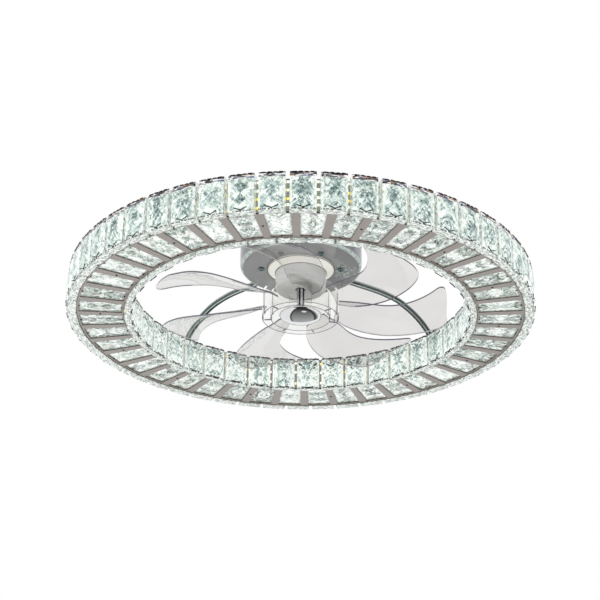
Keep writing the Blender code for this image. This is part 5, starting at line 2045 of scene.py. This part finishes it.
    def make_blades(self) -> None:
        """Build the blades, whose cut edges carry painted shade where they face the front or right
        of it, and a pale painted highlight elsewhere.
        """
        sheet = self.blade_mesh()
        finishes = [self.shop.finish(finish) for finish in (ACRYLIC, SHADED_EDGE, LIT_EDGE)]
        for number in range(self.blades):
            mesh = turned_about_z(sheet, self.blade_azimuth + FULL_TURN * number / self.blades)
            for face in mesh.polygons:
                near = face.center.y < self.shade_beyond and face.normal.x > self.shade_right
                cut = face.material_index == BladeFace.LIT_EDGE
                if cut and (face.normal.y < self.shade_front or near):
                    face.material_index = BladeFace.SHADED_EDGE
            piece = new_object(f"clear_blade_{number + 1}", mesh, *finishes)
            self.shop.add(piece, ROTOR, "clear_acrylic", f"blade_{number + 1}")

    def dome(self) -> None:
        """Build the chrome bowl under the hub."""
        rim, depth, wall = self.hub_low + 3.7 * MM, 6.5 * MM, 1.2 * MM
        radius = self.flange_radius - 0.4 * MM
        angles = [math.pi / 2 * i / 16 for i in range(16)]
        outer, inner = (
            [(wide * math.cos(a), rim - deep * math.sin(a)) for a in angles] + [(0.0, rim - deep)]
            for wide, deep in ((radius, depth), (radius - wall, depth - wall))
        )
        self.shop.add_turned(
            "dome_bowl", inner[::-1] + outer, 96, CHROME, ROTOR, "chrome_plate", "dome_cap",
            closed=False,
        )

    def build(self) -> None:
        """Build the fan."""
        self.hub()
        self.ribs()
        self.make_blades()
        self.dome()
        self.shop.dress(SHAFT_CHROME, "motor_shaft")
        self.shop.dress(ZINC, "hub_nut")


# Studio


@dataclass
class Studio:
    """The floor, the soft light and the camera."""

    floor_z: float = -2.6
    lens: float = 103.86
    camera_place: tuple[float, float, float] = (3.2 * MM, -1670.5 * MM, RING_Z - 790.9 * MM)
    pitch: float = math.radians(25.998)
    yaw: float = math.radians(-0.133)
    roll: float = math.radians(0.58)
    daylight: float = 0.62
    flag_y: float = -1.9
    flag_half: float = 1.55
    flag_top: float = 1.35

    def world(self) -> None:
        """Make the world white to the camera, gloss and clear pieces, and plain light elsewhere."""
        world = bpy.data.worlds.new("studio")
        bpy.context.scene.world = world
        world.use_nodes = True
        graph = Graph(world.node_tree)
        strength = self.daylight + self.seen(graph) * (1 - self.daylight)
        light = graph.node("ShaderNodeBackground", {"Color": WHITE, "Strength": strength})
        graph.node("ShaderNodeOutputWorld", {"Surface": light.outputs[0]})

    @staticmethod
    def seen(graph: Graph) -> Value:
        """Return 1 for camera, glossy and transmission rays, and 0 for the rest.

        Args:
            graph: The node tree.

        Returns:
            The number.
        """
        path = graph.node("ShaderNodeLightPath").outputs
        rays = ("Camera", "Glossy", "Transmission")
        camera, gloss, clear = (Value(graph, path[f"Is {ray} Ray"]) for ray in rays)
        return camera.maths("MAXIMUM", camera.maths("MAXIMUM", camera, gloss), clear)

    def floor(self) -> None:
        """Make the plain pale floor, which keeps the object's shadow."""
        work = bmesh.new()
        place = Matrix.Translation((0.0, 0.0, self.floor_z))
        bmesh.ops.create_grid(work, x_segments=1, y_segments=1, size=7.0, matrix=place)
        material = bpy.data.materials.new("pale floor")
        material.use_nodes = True
        graph = Graph(material.node_tree)
        matt = graph.node("ShaderNodeBsdfDiffuse", {"Color": (0.86, 0.86, 0.86)})
        white = graph.node("ShaderNodeEmission", {"Color": WHITE, "Strength": 1.0})
        shades = {0: self.seen(graph) * 0.9, 1: matt.outputs[0], 2: white.outputs[0]}
        mixed = graph.node("ShaderNodeMixShader", shades)
        graph.node("ShaderNodeOutputMaterial", {"Surface": mixed.outputs[0]})
        new_object("floor", flat_mesh("floor", work), material)

    def card(
        self, name: str, corners: Sequence[tuple[float, float, float]],
        shade: Callable[[Surface], Link],
    ) -> None:
        """Hang a flag that only polished surfaces see.

        Args:
            name: The flag's name.
            corners: Its four corners.
            shade: Returns its colour on the flag's surface.
        """
        work = bmesh.new()
        work.faces.new([work.verts.new(corner) for corner in corners])
        surface = Surface(f"{name} cloth")
        surface.set(
            Base_Color=(0.0, 0.0, 0.0), Specular_IOR_Level=0.0, Emission_Color=shade(surface),
            Emission_Strength=1.0,
        )
        card = new_object(name, flat_mesh(name, work), surface.material)
        for ray in ("camera", "transmission", "diffuse", "shadow"):
            setattr(card, f"visible_{ray}", False)

    @staticmethod
    def black(surface: Surface) -> Link:
        """Return the shade of the upright flag."""
        return surface.blend(surface.noise(surface.place(), 2.0), (0.004,) * 3, (0.02,) * 3)

    def grey(self, surface: Surface) -> Link:
        """Return the shade of the floor's flag, paler with distance and round a bright spot.

        Args:
            surface: The flag's surface.

        Returns:
            The shade.
        """
        x, y, _ = surface.split(surface.place())
        away = y - self.flag_y
        greys = {0.0: 0.01, 0.22: 0.05, 0.38: 0.18, 0.55: 0.32, 0.80: 0.45}
        ramp = [(place, (grey,) * 3) for place, grey in greys.items()]
        colour = surface.colours(ramp, away / 9.0)
        colour = surface.blend((x + 0.8).ramp(0.28, 0.05) * 0.85, colour, (0.01,) * 3)
        past = x - (0.85 + away * 0.07)
        colour = surface.blend(past.ramp(-0.22, 0.0) * 0.85, colour, (0.02,) * 3)
        colour = surface.blend(past.ramp(0.15, 1.5), colour, WHITE)
        x, y = x - 0.3, y - 1.1
        return surface.blend((x * x + y * y * 0.5).ramp(0.09, 0.0), colour, WHITE)

    def flags(self) -> None:
        """Hang the dark flag on the camera's side and lay the grey one on the floor."""
        near, wide, top = self.flag_y, self.flag_half, self.flag_top
        low, level = self.floor_z + 0.02, self.floor_z + 0.03
        self.card(
            "upright_flag",
            [(wide, near, top), (-wide, near, top), (-wide, near, low), (wide, near, low)],
            self.black,
        )
        self.card(
            "floor_flag",
            [(-0.8, near, level), (3.6, near, level), (4.4, 6.9, level), (-0.8, 6.9, level)],
            self.grey,
        )

    def lamp(self, name: str, place: tuple[float, float, float], size: float, power: float) -> None:
        """Hang a soft square lamp that faces the object and isn't seen itself.

        Args:
            name: The lamp's name.
            place: Where it hangs.
            size: The length of its sides.
            power: Its power in watts.
        """
        data = bpy.data.lights.new(name, "AREA")
        data.shape = "SQUARE"
        data.size = size
        data.energy = power
        lamp = bpy.data.objects.new(name, data)
        bpy.context.scene.collection.objects.link(lamp)
        lamp.location = place
        aim = Vector((0.0, 0.0, RING_Z)) - Vector(place)
        lamp.rotation_euler = aim.to_track_quat("-Z", "Y").to_euler()
        lamp.visible_camera = lamp.visible_glossy = lamp.visible_transmission = False

    def camera(self) -> None:
        """Set the camera at the photograph's viewing angle."""
        data = bpy.data.cameras.new("camera")
        data.lens = self.lens
        data.sensor_width = 36.0
        camera = bpy.data.objects.new("camera", data)
        bpy.context.scene.collection.objects.link(camera)
        sine, cosine = math.sin(self.yaw), math.cos(self.yaw)
        reach = math.cos(self.pitch)
        ahead = Vector((sine * reach, cosine * reach, math.sin(self.pitch)))
        level = Vector((cosine, -sine, 0.0))
        upright = level.cross(ahead)
        right = math.cos(self.roll) * level + math.sin(self.roll) * upright
        up = -math.sin(self.roll) * level + math.cos(self.roll) * upright
        turn = Matrix((right, up, -ahead)).transposed()
        camera.matrix_world = Matrix.Translation(self.camera_place) @ turn.to_4x4()
        bpy.context.scene.camera = camera

    def build(self) -> None:
        """Build the studio."""
        bpy.context.scene.view_settings.view_transform = "Standard"
        self.world()
        self.floor()
        self.flags()
        self.lamp("key_lamp", (-1.6, -1.6, -1.4), 1.6, 26.0)
        self.lamp("fill_lamp", (1.8, -0.8, -0.9), 1.6, 12.0)
        self.lamp("top_lamp", (0.6, 0.9, 1.8), 1.8, 22.0)
        self.camera()


def main() -> None:
    """Build the looks in order."""
    logging.basicConfig(level=logging.INFO, format="%(message)s")
    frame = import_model()
    shop = Workshop(frame, RingLayout())
    Studio().build()
    for assembly in (Ring(shop), Canopy(shop), Motor(shop), Fan(shop)):
        LOG.info("building the %s", type(assembly).__name__.lower())
        assembly.build()


if __name__ == "__main__":
    main()
